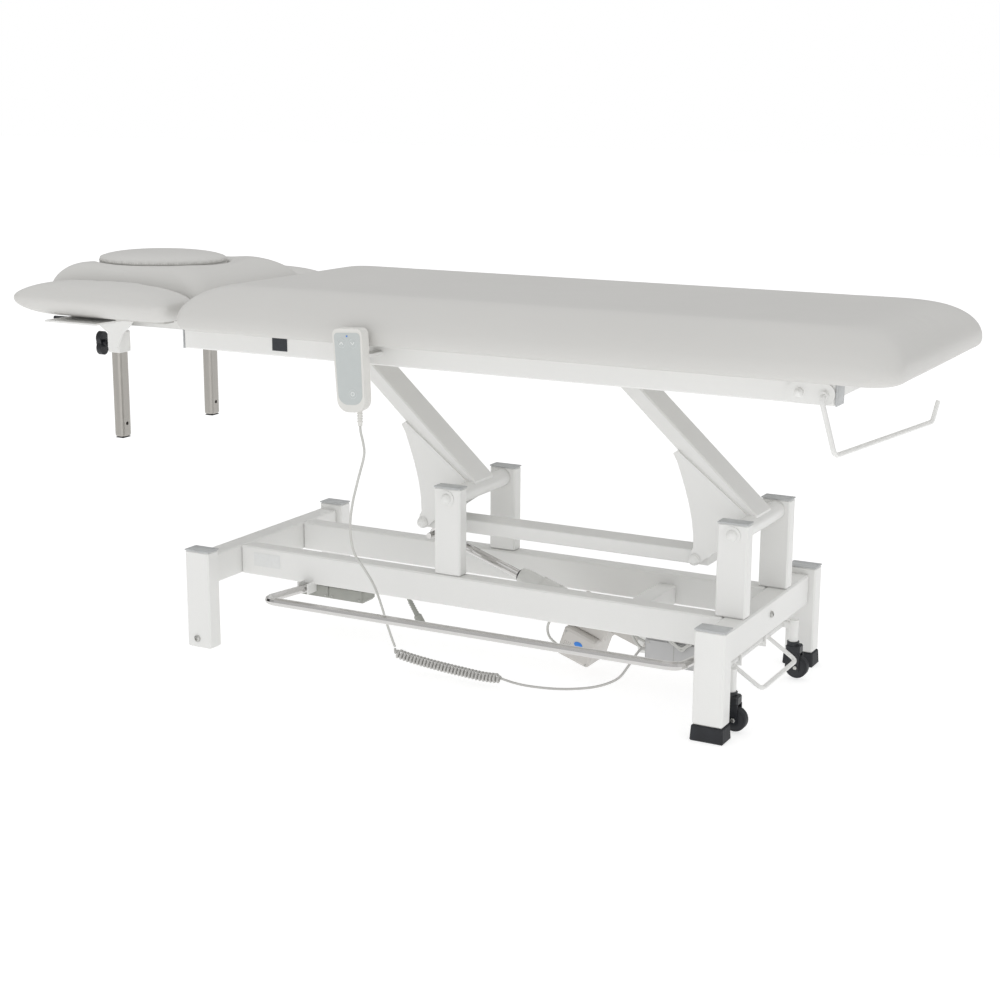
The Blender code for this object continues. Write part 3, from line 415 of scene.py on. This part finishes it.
def tube_mesh(name, line, radius, mat, body=None, sides=12, taper=None):
    """A round tube along the line, as a mesh with closed ends."""
    bm = bmesh.new()
    rings = []
    normal = None
    count = len(line)
    for i, point in enumerate(line):
        ahead = (line[min(i + 1, count - 1)] - line[max(i - 1, 0)]).normalized()
        if normal is None:
            normal = ahead.orthogonal().normalized()
        normal = (normal - ahead * normal.dot(ahead)).normalized()
        side = ahead.cross(normal)
        r = radius if taper is None else taper(i / (count - 1)) * radius
        rings.append([
            bm.verts.new(point + normal * r * cos(2 * pi * k / sides) + side * r * sin(2 * pi * k / sides))
            for k in range(sides)
        ])
    for lower, upper in zip(rings, rings[1:]):
        for k in range(sides):
            j = (k + 1) % sides
            bm.faces.new((lower[k], lower[j], upper[j], upper[k]))
    bm.faces.new(rings[0][::-1])
    bm.faces.new(rings[-1])
    return from_bmesh(name, bm, mat, body, smooth=60)


# ---------------------------------------------------------------- handset cord

CORD_R = 0.0025
COIL_R = 0.0080
COIL_TURNS = 31
UPPER_ROUTE = [
    (-0.1160, -0.3470, 0.5343), (-0.1150, -0.3467, 0.5220), (-0.1110, -0.3450, 0.5020),
    (-0.1125, -0.3400, 0.4760), (-0.1370, -0.3250, 0.4220), (-0.1640, -0.3040, 0.3670),
    (-0.1810, -0.2870, 0.3130), (-0.1840, -0.2700, 0.2600), (-0.1710, -0.2540, 0.2240),
    (-0.1570, -0.2400, 0.1880), (-0.1470, -0.2290, 0.1450), (-0.1410, -0.2180, 0.1040),
    (-0.1370, -0.2080, 0.0740), (-0.1330, -0.2010, 0.0520),
]
COIL_ROUTE = [
    (-0.1330, -0.2000, 0.0400), (-0.1000, -0.2000, 0.0335), (-0.0400, -0.2000, 0.0275),
    (0.0260, -0.2000, 0.0235), (0.0750, -0.2000, 0.0215), (0.1130, -0.2000, 0.0240),
]
LOWER_ROUTE = [
    (0.1240, -0.2000, 0.0225), (0.1420, -0.1995, 0.0195), (0.1760, -0.1980, 0.0180),
    (0.2250, -0.1940, 0.0200), (0.2720, -0.1880, 0.0260), (0.3150, -0.1790, 0.0360),
    (0.3480, -0.1640, 0.0520), (0.3610, -0.1430, 0.0740), (0.3680, -0.1220, 0.0930),
    (0.3740, -0.1100, 0.1020), (0.3838, -0.1080, 0.1035),
]


def handset_cord():
    """The hanging part of the handset's cord, then the coil with the run to the control box."""
    upper = even_line(smooth_line([at(*p) for p in UPPER_ROUTE]), 0.006)
    hanging = tube_mesh("handset_cord_hanging", upper, CORD_R, CORD_GREY)
    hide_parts("cord_upper")
    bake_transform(hanging)

    core = even_line(smooth_line([at(*p) for p in COIL_ROUTE]), 0.002)
    turns = COIL_TURNS
    steps = turns * 14
    wound = []
    for step in range(steps + 1):
        s = step / steps
        place = s * (len(core) - 1)
        index = min(int(place), len(core) - 2)
        point = core[index].lerp(core[index + 1], place - index)
        ahead = (core[index + 1] - core[index]).normalized()
        side = ahead.cross(Vector((0, 0, 1))).normalized()
        up = side.cross(ahead)
        swell = min(1.0, s * turns, (1 - s) * turns)
        a = 2 * pi * turns * s - pi / 2
        wound.append(point + (side * cos(a) + up * sin(a)) * COIL_R * max(swell, 0.02))
    lead_in = [at(*UPPER_ROUTE[-1]) + Vector((0.0005, 0.0, -0.004))]
    tail = smooth_line([wound[-1]] + [at(*p) for p in LOWER_ROUTE[1:]], 6)
    line = lead_in + wound + tail[1:]
    coil = tube_mesh("handset_cord_coiled", line, CORD_R, COIL_GREY, sides=10)
    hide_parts("cord_coil", "cord_lower")
    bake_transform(coil)


# ---------------------------------------------------------------- upholstery

def loaf(name, x, y, z, top, bottom, corners=(0.020, 0.060, 0.020), rings=14):
    """A closed cushion block. Its lower and upper edges are quarter ellipses.

    top and bottom give how far each ellipse runs in from low x, high x, low y and high y, and its height.
    corners gives the plan radius at low x, at high x, and how much it grows towards the top."""
    bm = bmesh.new()
    profile = []
    for step in range(7):
        a = step / 6 * pi / 2
        profile.append((bottom, 1 - sin(a), z[0] + bottom[4] * (1 - cos(a))))
    for step in range(rings + 1):
        a = step / rings * pi / 2
        profile.append((top, 1 - cos(a), z[1] - top[4] * (1 - sin(a))))
    layers = []
    for reach, inward, height in profile:
        low_x, high_x = x[0] + reach[0] * inward, x[1] - reach[1] * inward
        low_y, high_y = y[0] + reach[2] * inward, y[1] - reach[3] * inward
        grown = 0.0 if reach is bottom else corners[2] * inward
        ring = []
        for side_x, side_y, start in ((1, 1, 0), (-1, 1, 90), (-1, -1, 180), (1, -1, 270)):
            r = (corners[1] if side_x > 0 else corners[0]) + grown
            cx = high_x - r if side_x > 0 else low_x + r
            cy = high_y - r if side_y > 0 else low_y + r
            for k in range(9):
                a = radians(start + 90 * k / 8)
                ring.append(bm.verts.new((cx + r * cos(a), cy + r * sin(a), height)))
        layers.append(ring)
    for lower, upper in zip(layers, layers[1:]):
        for k in range(len(lower)):
            j = (k + 1) % len(lower)
            bm.faces.new((lower[k], lower[j], upper[j], upper[k]))
    bm.faces.new(layers[0][::-1])
    bm.faces.new(layers[-1])
    bmesh.ops.translate(bm, vec=SHIFT, verts=bm.verts)
    bmesh.ops.recalc_face_normals(bm, faces=bm.faces)
    mesh = bpy.data.meshes.new(name)
    bm.to_mesh(mesh)
    bm.free()
    piece = bpy.data.objects.new(name, mesh)
    scene.collection.objects.link(piece)
    return piece


def settle(piece):
    """Turns the piece's modifiers into its mesh."""
    graph = bpy.context.evaluated_depsgraph_get()
    graph.update()
    mesh = bpy.data.meshes.new_from_object(piece.evaluated_get(graph))
    piece.modifiers.clear()
    old = piece.data
    piece.data = mesh
    bpy.data.meshes.remove(old)


def coords(mesh):
    out = np.empty(len(mesh.vertices) * 3)
    mesh.vertices.foreach_get("co", out)
    return out.reshape(-1, 3)


def inflate(piece, voxel, cap, floor_z, pressure=4.0, frames=20, relax=4):
    """Makes the block into padded vinyl: an even mesh, blown up a little as cloth, flat where it rests."""
    remesh = piece.modifiers.new("even mesh", "REMESH")
    remesh.mode = "VOXEL"
    remesh.voxel_size = voxel
    remesh.use_smooth_shade = True
    settle(piece)
    bm = bmesh.new()
    bm.from_mesh(piece.data)
    for _ in range(relax):
        bmesh.ops.smooth_vert(bm, verts=bm.verts, factor=0.5, use_axis_x=True, use_axis_y=True,
                              use_axis_z=True)
    bm.to_mesh(piece.data)
    bm.free()
    start = coords(piece.data)
    cloth = piece.modifiers.new("padded", "CLOTH")
    cloth.settings.quality = 5
    cloth.settings.mass = 0.3
    cloth.settings.tension_stiffness = 15
    cloth.settings.compression_stiffness = 15
    cloth.settings.shear_stiffness = 5
    cloth.settings.bending_stiffness = 0.5
    cloth.settings.use_pressure = True
    cloth.settings.uniform_pressure_force = pressure
    cloth.settings.effector_weights.gravity = 0
    cloth.collision_settings.use_collision = False
    cloth.point_cache.frame_start = 1
    cloth.point_cache.frame_end = frames
    for step in range(1, frames + 1):
        scene.frame_set(step)
    graph = bpy.context.evaluated_depsgraph_get()
    blown = coords(piece.evaluated_get(graph).data)
    piece.modifiers.clear()
    scene.frame_set(1)
    move = blown - start
    move -= move.mean(axis=0)
    size = np.linalg.norm(move, axis=1, keepdims=True) + 1e-9
    start = start + move / size * cap * np.tanh(size / cap)
    start[:, 2] = np.maximum(start[:, 2], floor_z)
    piece.data.vertices.foreach_set("co", start.ravel())
    piece.data.update()


def upholster(piece, body, fill, *replaced):
    piece.data.materials.clear()
    piece.data.materials.append(VINYL)
    piece.data.shade_smooth()
    fine = piece.modifiers.new("fine", "SUBSURF")
    fine.levels = 1
    fine.render_levels = 1
    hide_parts(*replaced)
    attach(piece, body)


PAD_FLOOR = 0.6923
BOARD_FLOOR = 0.6812
FACE = at(-0.855, 0, 0)
HOLE_X, HOLE_Y = 0.1495, 0.1335
PLUG_X, PLUG_Y = 0.1475, 0.1315


def main_cushion():
    pad = loaf("main_cushion", (-0.5820, 0.9050), (-0.3240, 0.3240), (BOARD_FLOOR, 0.7690),
               (0.105, 0.105, 0.100, 0.100, 0.066), (0.012, 0.012, 0.012, 0.012, 0.015),
               (0.022, 0.058, 0.012))
    inflate(pad, 0.008, 0.004, BOARD_FLOOR, relax=1)
    upholster(pad, "upper", 0.9, "main_pad", "main_board")


def head_cushion():
    pad = loaf("head_cushion", (-1.0225, -0.5970), (-0.1970, 0.1970), (PAD_FLOOR, 0.7890),
               (0.065, 0.130, 0.062, 0.062, 0.072), (0.004, 0.003, 0.003, 0.003, 0.006),
               (0.018, 0.030, 0.020))
    bpy.ops.mesh.primitive_cylinder_add(vertices=96, radius=1, depth=0.3, location=(FACE.x, FACE.y, 0.73))
    cutter = bpy.context.object
    cutter.scale = (HOLE_X + 0.001, HOLE_Y + 0.001, 1)
    hole = pad.modifiers.new("face hole", "BOOLEAN")
    hole.object = cutter
    hole.operation = "DIFFERENCE"
    bpy.context.view_layer.update()
    settle(pad)
    bpy.data.objects.remove(cutter, do_unlink=True)
    inflate(pad, 0.005, 0.003, PAD_FLOOR, relax=3)
    points = coords(pad.data)
    reach = np.hypot((points[:, 0] - FACE.x) / HOLE_X, (points[:, 1] - FACE.y) / HOLE_Y)
    inside = reach < 1.0
    points[inside, 0] = FACE.x + (points[inside, 0] - FACE.x) / reach[inside]
    points[inside, 1] = FACE.y + (points[inside, 1] - FACE.y) / reach[inside]
    pad.data.vertices.foreach_set("co", points.ravel())
    upholster(pad, "head", 0.85, "head_pad")


def arm_cushions():
    for side, sign in (("near", -1), ("far", 1)):
        outer, inner = sign * 0.3225, sign * 0.2035
        low, high = min(outer, inner), max(outer, inner)
        top = (0.130, 0.150, 0.085, 0.022, 0.033) if sign < 0 else (0.130, 0.150, 0.022, 0.085, 0.033)
        under = (0.110, 0.060, 0.085, 0.012, 0.036) if sign < 0 else (0.110, 0.060, 0.012, 0.085, 0.036)
        pad = loaf("arm_cushion_" + side, (-1.0110, -0.6000), (low, high), (0.6868, 0.7575), top, under,
                   (0.016, 0.030, 0.012))
        inflate(pad, 0.005, 0.003, 0.6868, relax=2)
        upholster(pad, "arm_rest_" + side, 0.85, "arm_pad_" + side)
        board_y = sorted((sign * 0.212, sign * 0.246))
        soft_box("arm_board_" + side, at(-0.912, board_y[0], 0.6806), at(-0.660, board_y[1], 0.6880),
                 0.002, BOARD,
                 "arm_rest_" + side)


def face_cushion():
    """The plug in the face hole: a side band, a stitched seam and a crowned top with small puckers."""
    bm = bmesh.new()
    steps = 240
    wall = [(0.90, 0.6926), (0.965, 0.6932), (0.985, 0.700), (0.990, 0.715), (0.990, 0.740), (0.990, 0.772),
            (0.987, 0.7825), (0.976, 0.7855), (0.983, 0.7875)]
    crown = []
    for step in range(1, 27):
        a = step / 26 * pi / 2
        crown.append((0.980 * cos(a) ** 0.80, 0.7885 + 0.0187 * sin(a) ** 0.9))
    rings = []
    for shrink, height in wall + crown:
        ring = []
        for k in range(steps):
            a = 2 * pi * k / steps
            near_seam = max(0.0, 1 - abs(height - 0.791) / 0.009) if height > 0.7875 else 0.0
            wide, fine = sin(37 * a + 1.3 * sin(5 * a)), sin(61 * a + 2.0 * cos(3 * a))
            pucker = near_seam * (0.0011 * wide + 0.0007 * fine)
            r = shrink + pucker / HOLE_X
            if r < 0.02:
                r = 0.0
            ring.append((r, a, height + pucker * 0.6))
        if ring[0][0] < 0.02:
            top = bm.verts.new((FACE.x, FACE.y, height))
            rings.append([top])
            break
        rings.append([bm.verts.new((FACE.x + PLUG_X * r * cos(a), FACE.y + PLUG_Y * r * sin(a), h))
                      for r, a, h in ring])
    for lower, upper in zip(rings, rings[1:]):
        for k in range(steps):
            j = (k + 1) % steps
            if len(upper) == 1:
                bm.faces.new((lower[k], lower[j], upper[0]))
            else:
                bm.faces.new((lower[k], lower[j], upper[j], upper[k]))
    bm.faces.new(rings[0][::-1])
    plug = from_bmesh("face_cushion", bm, VINYL, "plug", smooth=60)
    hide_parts("face_plug")

    def ring_line(scale, height, count=160):
        return [Vector((FACE.x + PLUG_X * scale * cos(2 * pi * k / count),
                        FACE.y + PLUG_Y * scale * sin(2 * pi * k / count), height)) for k in range(count + 1)]

    tube_mesh("face_cushion_seam", ring_line(0.986, 0.7860), 0.0011, VINYL_DARK, "plug", sides=8)
    bm = bmesh.new()
    count = 150
    for k in range(count):
        a = 2 * pi * (k + 0.5) / count
        b = 2 * pi * (k + 0.92) / count
        ends = [Vector((FACE.x + PLUG_X * 0.985 * cos(t), FACE.y + PLUG_Y * 0.985 * sin(t),
                        0.7885)) for t in (a, b)]
        add_stitch(bm, ends[0], ends[1], 0.0005)
    from_bmesh("face_cushion_stitches", bm, THREAD, "plug", smooth=60)


def add_stitch(bm, start, end, radius):
    """One short thread between two points, thicker in the middle."""
    ahead = (end - start).normalized()
    side = ahead.orthogonal().normalized()
    up = ahead.cross(side)
    rings = []
    for t, r in ((0.0, 0.35), (0.25, 0.9), (0.5, 1.0), (0.75, 0.9), (1.0, 0.35)):
        centre = start.lerp(end, t)
        rings.append([bm.verts.new(centre + (side * cos(pi * k / 3) + up * sin(pi * k / 3)) * radius * r)
                      for k in range(6)])
    for lower, upper in zip(rings, rings[1:]):
        for k in range(6):
            j = (k + 1) % 6
            bm.faces.new((lower[k], lower[j], upper[j], upper[k]))
    bm.faces.new(rings[0][::-1])
    bm.faces.new(rings[-1])


# ---------------------------------------------------------------- fittings

def tube_cap(name, centre, size, body, axis="z", thick=0.003, proud=0.0006):
    """A plastic cap on a tube's end, with a low raised middle. centre is on the tube's end face."""
    half = [size[0] / 2 + proud, size[1] / 2 + proud]
    order = {"z": (0, 1, 2), "x": (1, 2, 0)}[axis.strip("-")]
    sign = -1 if axis.startswith("-") else 1

    def corners(a, b, low, high):
        lo, hi = [0, 0, 0], [0, 0, 0]
        for place, extent in zip(order[:2], (a, b)):
            lo[place], hi[place] = -extent, extent
        ends = sorted((sign * low, sign * high))
        lo[order[2]], hi[order[2]] = ends
        return Vector(lo) + Vector(centre), Vector(hi) + Vector(centre)

    lo, hi = corners(half[0], half[1], 0.0001, thick)
    soft_box(name, lo, hi, 0.0011, CAP_GREY, body)
    lo, hi = corners(half[0] - 0.006, half[1] - 0.006, thick - 0.001, thick + 0.0006)
    soft_box(name + "_centre", lo, hi, 0.0005, CAP_GREY, body, segments=2)


def tube_caps():
    for side, sign in (("near", -1), ("far", 1)):
        for end, x in (("head", -0.576), ("foot", 0.576)):
            tube_cap("leg_cap_%s_%s" % (end, side), at(x, sign * 0.254, 0.2105), (0.060, 0.038), "base")
        for end, x in (("head", -0.0495), ("foot", 0.560)):
            tube_cap("upright_cap_%s_%s" % (end, side), at(x, sign * 0.118, 0.378), (0.060, 0.030), "base")
        tube_cap("rail_cap_foot_" + side, at(0.786, sign * 0.250, 0.660), (0.040, 0.040), "upper", "x")
        tube_cap("rail_cap_head_" + side, at(-0.590, sign * 0.250, 0.660), (0.040, 0.040), "upper", "-x")


def screw_head(name, place, axis, radius, body, mat=STEEL):
    """A domed screw head with a round socket recess."""
    lathe(name, [(0, 0), (radius, 0), (radius, radius * 0.25), (radius * 0.9, radius * 0.5),
                 (radius * 0.62, radius * 0.66), (radius * 0.45, radius * 0.68),
                 (radius * 0.42, radius * 0.3),
                 (0, radius * 0.3)], place, axis, mat, body, steps=24)


def base_fittings():
    screw_head("leg_bolt_near", at(-0.580, -0.2731, 0.0200), (0, -1, 0), 0.0075, "base")
    screw_head("leg_bolt_far", at(-0.580, 0.2731, 0.0200), (0, 1, 0), 0.0075, "base")
    screw_head("beam_bolt", at(0.5925, 0.010, 0.172), (1, 0, 0), 0.0065, "base")
    soft_box("rail_label", at(-0.526, -0.13875, 0.156), at(-0.458, -0.1381, 0.186), 0.0003, LABEL_WHITE,
             "base",
             segments=1)
    soft_box("fabric_tag", at(-0.370, -0.2712, 0.6510), at(-0.334, -0.2701, 0.6800), 0.0004, TAG_BLACK,
             "upper",
             segments=1)
    for name, x0, x1 in (("a", -0.4215, -0.343), ("b", -0.339, -0.2585)):
        soft_box("switch_lid_" + name, at(x0, -0.1292, 0.1065), at(x1, -0.1265, 0.1315), 0.0009,
                 SWITCH_GREY, "base")
        for k in range(2):
            screw_head("switch_screw_%s%d" % (name, k),
                       at(x0 + 0.006 + k * (x1 - x0 - 0.012), -0.1292, 0.112),
                       (0, -1, 0), 0.0022, "base")


HANDSET_LEAN = radians(3.2)
HANDSET_MIDDLE = at(-0.1310, 0, 0.6410)


def on_handset(u, v):
    """The x and z of a place on the leaning handset, from its middle."""
    lean = HANDSET_LEAN
    middle = HANDSET_MIDDLE
    return middle.x + u * cos(lean) - v * sin(lean), middle.z + u * sin(lean) + v * cos(lean)


def handset_plate(name, outline, near, far, mat):
    """A flat plate on the handset's face, from an outline in the handset's own directions."""
    bm = bmesh.new()
    rows = []
    for y in (near, far):
        rows.append([])
        for u, v in outline:
            x, z = on_handset(u, v)
            rows[-1].append(bm.verts.new((x, y, z)))
    count = len(outline)
    for k in range(count):
        j = (k + 1) % count
        bm.faces.new((rows[0][k], rows[0][j], rows[1][j], rows[1][k]))
    bm.faces.new(rows[0])
    bm.faces.new(rows[1][::-1])
    return from_bmesh(name, bm, mat, "upper", smooth=30)


def handset_outline(shrink):
    points = []
    for cu, cv, r, start in ((0.021, 0.0640, 0.012, 0), (-0.021, 0.0640, 0.012, 90),
                             (-0.007, -0.0450, 0.024, 180), (0.007, -0.0450, 0.024, 270)):
        for k in range(13):
            a = radians(start + 90 * k / 12)
            points.append((cu + (r - shrink) * cos(a), cv + (r - shrink) * sin(a)))
    return points


def handset_details():
    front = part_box("handset")[0][1]
    handset_plate("handset_film", handset_outline(0.0042), front - 0.0005, front + 0.0006, MEMBRANE)
    for name, u, v, flip in (("up", -0.0125, 0.052, 1), ("down", 0.0125, 0.052, -1)):
        ring_key("handset_key_" + name, u, v, front, 0.0090)
        size = 0.0044
        outline = [(-1.0, -0.45), (0.0, 0.75), (1.0, -0.45), (0.72, -0.62), (0.0, 0.30), (-0.72, -0.62)]
        handset_plate("handset_mark_" + name, [(u + size * a, v + size * b * flip) for a, b in outline],
                      front - 0.0018, front - 0.0008, KEY_MARK)
    ring_key("handset_key_stop", 0.006, -0.044, front, 0.0090)
    x, z = on_handset(0.006, -0.044)
    lathe("handset_mark_stop", [(0.0030, 0.0), (0.0030, 0.0006), (0.0040, 0.0006), (0.0040, 0.0)],
          (x, front - 0.0008, z), (0, -1, 0), KEY_MARK, "upper")
    x, z = on_handset(0, 0.0655)
    lathe("handset_lamp", [(0, 0.0), (0.0017, 0.0), (0.0016, 0.0006), (0, 0.0010)],
          (x, front - 0.0006, z), (0, -1, 0), LABEL_BLUE, "upper", steps=20)
    for k in range(5):
        z = 0.5640 - k * 0.0052
        lathe("strain_rib_%d" % k, [(0.0044, -0.0011), (0.0056, -0.0009), (0.0058, 0.0), (0.0056, 0.0009),
                                    (0.0044, 0.0011), (0.0044, -0.0011)],
              at(-0.1160, -0.347, z), (0, 0, 1), HANDSET_GREY, "upper", steps=20)


def ring_key(name, u, v, front, radius):
    x, z = on_handset(u, v)
    lathe(name,
          [(0, 0.0), (radius, 0.0), (radius, 0.0004), (radius * 0.95, 0.0007), (radius * 0.90, 0.0004)],
          (x, front - 0.0004, z), (0, -1, 0), KEY_RIM, "upper", steps=40)
    lathe(name + "_face", [(0, 0.0), (radius * 0.90, 0.0), (radius * 0.88, 0.0003), (0, 0.0005)],
          (x, front - 0.0006, z), (0, -1, 0), MEMBRANE, "upper", steps=40)


# ---------------------------------------------------------------- drive and running gear

ROD_EYE = at(-0.148, 0.0, 0.247)
DRIVE = (at(0.345, 0.0, 0.077) - ROD_EYE).normalized()
DRIVE_UP = DRIVE.cross(Vector((0, -1, 0))).normalized()
if DRIVE_UP.z < 0:
    DRIVE_UP = -DRIVE_UP


def on_drive(along, y, up):
    return ROD_EYE + DRIVE * along + Vector((0, y, 0)) + DRIVE_UP * up


def drive_block(name, along, y, up, radius, mat):
    """A block in line with the actuator, on its housing."""
    lo = Vector((along[0], y[0], up[0]))
    hi = Vector((along[1], y[1], up[1]))
    bm = bmesh.new()
    bmesh.ops.create_cube(bm, size=1.0)
    bmesh.ops.scale(bm, vec=hi - lo, verts=bm.verts)
    if radius:
        bmesh.ops.bevel(bm, geom=bm.edges[:], offset=radius, segments=2, profile=0.5, affect="EDGES")
    middle = (lo + hi) / 2
    for vert in bm.verts:
        p = vert.co + middle
        vert.co = on_drive(p.x, p.y, p.z)
    return from_bmesh(name, bm, mat, "actuator")


def actuator_details():
    """A blank label, vents, a lid and screws on the motor, and rings on the tube."""
    bm = bmesh.new()
    rows = [[bm.verts.new(on_drive(0.3960 + 0.0095 * cos(2 * pi * k / 40), y,
                                   -0.0545 + 0.0060 * sin(2 * pi * k / 40)))
             for k in range(40)] for y in (-0.0508, -0.0499)]
    for k in range(40):
        j = (k + 1) % 40
        bm.faces.new((rows[0][k], rows[0][j], rows[1][j], rows[1][k]))
    bm.faces.new(rows[0])
    bm.faces.new(rows[1][::-1])
    from_bmesh("motor_label", bm, LABEL_BLUE, "actuator", smooth=30)
    for row in range(5):
        for col in range(4):
            place = on_drive(0.3660 + col * 0.0042, -0.0500, -0.0760 + row * 0.0042)
            lathe("vent_%d%d" % (row, col), [(0, 0.0), (0.0011, 0.0), (0.0011, 0.0002), (0, 0.0002)], place,
                  (0, -1, 0), SWITCH_GREY, "actuator", steps=10)
    drive_block("motor_lid", (0.3550, 0.3562), (-0.045, 0.037), (-0.0900, -0.0345), 0.0005, MOTOR_IVORY)
    for along, up in ((0.3620, -0.0400), (0.4240, -0.0880)):
        screw_head("motor_screw_%d" % round(along * 1000), on_drive(along, -0.0501, up), (0, -1, 0),
                   0.0022, "actuator")
    for k, along in enumerate((0.262, 0.300, 0.3400)):
        lathe("sleeve_ring_%d" % k, [(0.0208, -0.0015), (0.0218, -0.0012), (0.0218, 0.0012),
                                     (0.0208, 0.0015),
                                     (0.0208, -0.0015)], on_drive(along, 0, 0), DRIVE, SLEEVE, "actuator")
    lathe("rod_wiper", [(0.0092, -0.002), (0.0125, -0.002), (0.0125, 0.001), (0.0100, 0.003),
                        (0.0092, 0.003),
                        (0.0092, -0.002)], on_drive(0.208, 0, 0), -DRIVE, BLACK, "actuator")


def loose_lead(name, points, radius, spacing=0.004):
    """A short lead of the base, built as a round tube."""
    line = even_line(smooth_line([at(*p) for p in points]), spacing)
    lead = tube_mesh(name, line, radius, CORD_GREY, "base")


def control_box_details():
    """A lid with screws and a seam, three sockets, and the leads' visible loops."""
    soft_box("control_lid", at(0.3900, -0.1290, 0.0830), at(0.5150, -0.1275, 0.1290), 0.0012, CASE_GREY,
             "base")
    soft_box("control_seam", at(0.4480, -0.12935, 0.0850), at(0.4488, -0.1285, 0.1270), 0, SWITCH_GREY,
             "base")
    for k, (x, z) in enumerate(((0.3955, 0.0880), (0.5095, 0.0880), (0.3955, 0.1240), (0.5095, 0.1240))):
        screw_head("control_screw_%d" % k, at(x, -0.1290, z), (0, -1, 0), 0.0024, "base")
    for k, z in enumerate((0.0950, 0.1060, 0.1170)):
        lathe("control_socket_%d" % k,
              [(0, 0.0), (0.0048, 0.0), (0.0048, 0.0070), (0.0040, 0.0085), (0, 0.0085)],
              at(0.3855, -0.095 + 0.012 * k, z), (-1, 0, 0), SWITCH_GREY, "base", steps=20)
    for k, drop in enumerate((0.0, 0.006)):
        loose_lead("box_lead_%d" % k, [(0.3760, -0.095 + 0.012 * k, 0.0950 + 0.011 * k),
                                       (0.3640, -0.092 + 0.012 * k, 0.0980 + 0.010 * k),
                                       (0.3500, -0.088 + 0.008 * k, 0.1080 + drop),
                                       (0.3400, -0.084 + 0.008 * k, 0.1240 + drop),
                                       (0.3370, -0.082 + 0.008 * k, 0.1330 + drop)], 0.0026)
        loose_lead("front_lead_%d" % k, [(0.4400 + 0.007 * k, -0.1330, 0.1338),
                                         (0.4540 + 0.004 * k, -0.1350, 0.1270),
                                         (0.4670, -0.1355, 0.1190 + drop * 0.8),
                                         (0.4760 - 0.003 * k, -0.1350, 0.1270),
                                         (0.4860 - 0.006 * k, -0.1330, 0.1338)],
                   0.0022)
    lead = even_line(smooth_line([at(*p) for p in (
        (0.1660, -0.0450, 0.1180), (0.1530, -0.0452, 0.1170), (0.1416, -0.0452, 0.1057),
        (0.1362, -0.0450, 0.0900),
        (0.1412, -0.0450, 0.0716), (0.1605, -0.0450, 0.0575), (0.1730, -0.0430, 0.0520))]), 0.004)
    loop = tube_mesh("motor_lead", lead, 0.0026, CORD_GREY, "actuator")


PLUG_LEAN = radians(-32)
KNOB_X = -0.9035
POST_X = -0.8555
POST_Y = 0.159


def running_gear():
    """Ribs on the spare plug, castor nuts and wheel faces, knob bosses and post plugs."""
    axis = Vector((sin(PLUG_LEAN), 0, cos(PLUG_LEAN)))
    for k in range(6):
        lathe("plug_rib_%d" % k, [(0.0038, -0.0012), (0.0056, -0.0010), (0.0058, 0.0), (0.0056, 0.0010),
                                  (0.0038, 0.0012), (0.0038, -0.0012)],
              at(-0.1330, -0.1100, 0.0930) + axis * (0.0070 + 0.0050 * k), axis, SWITCH_GREY, "base",
              steps=20)
    for side, y in (("near", -0.196), ("far", 0.152)):
        for face, sign in (("a", -1), ("b", 1)):
            lathe("axle_nut_%s_%s" % (side, face), [(0, 0), (0.0046, 0), (0.0046, 0.0016), (0.0034, 0.0030),
                                                    (0, 0.0032)],
                  at(0.602, y + sign * 0.0126, 0.0268), (0, sign, 0), STEEL, "fork_" + side, steps=6)
            lathe("wheel_face_%s_%s" % (side, face),
                  [(0.0040, 0.0), (0.0180, 0.0), (0.0185, 0.0006), (0.0170, 0.0010), (0.0060, 0.0008),
                   (0.0040, 0.0010),
                   (0.0040, 0.0)],
                  at(0.602, y + sign * 0.0088, 0.0268), (0, sign, 0), BLACK, "wheel_" + side)
    for side, sign in (("near", -1), ("far", 1)):
        knob = at(KNOB_X, sign * POST_Y, 0.615)
        lathe("knob_boss_" + side, [(0, 0), (0.0085, 0), (0.0085, 0.0030), (0.0070, 0.0045), (0, 0.0048)],
              knob - Vector((0.0064, 0, 0)), (-1, 0, 0), BLACK, "knob_" + side)
        lathe("knob_collar_" + side, [(0.0036, 0), (0.0080, 0), (0.0080, 0.0080), (0.0060, 0.0100),
                                      (0.0036, 0.0100),
                                      (0.0036, 0)],
              knob + Vector((0.0063, 0, 0)), (1, 0, 0), BLACK, "knob_" + side)
        post = at(POST_X, sign * POST_Y, 0.4115)
        soft_box("post_plug_" + side, post - Vector((0.0105, 0.0130, 0.0016)),
                 post + Vector((0.0105, 0.0130, 0.0004)),
                 0.0012, BLACK, "head")


add_camera()
add_light()
add_floor()
paint_nodes()
handset_cord()
main_cushion()
head_cushion()
arm_cushions()
face_cushion()
tube_caps()
base_fittings()
handset_details()
actuator_details()
control_box_details()
running_gear()
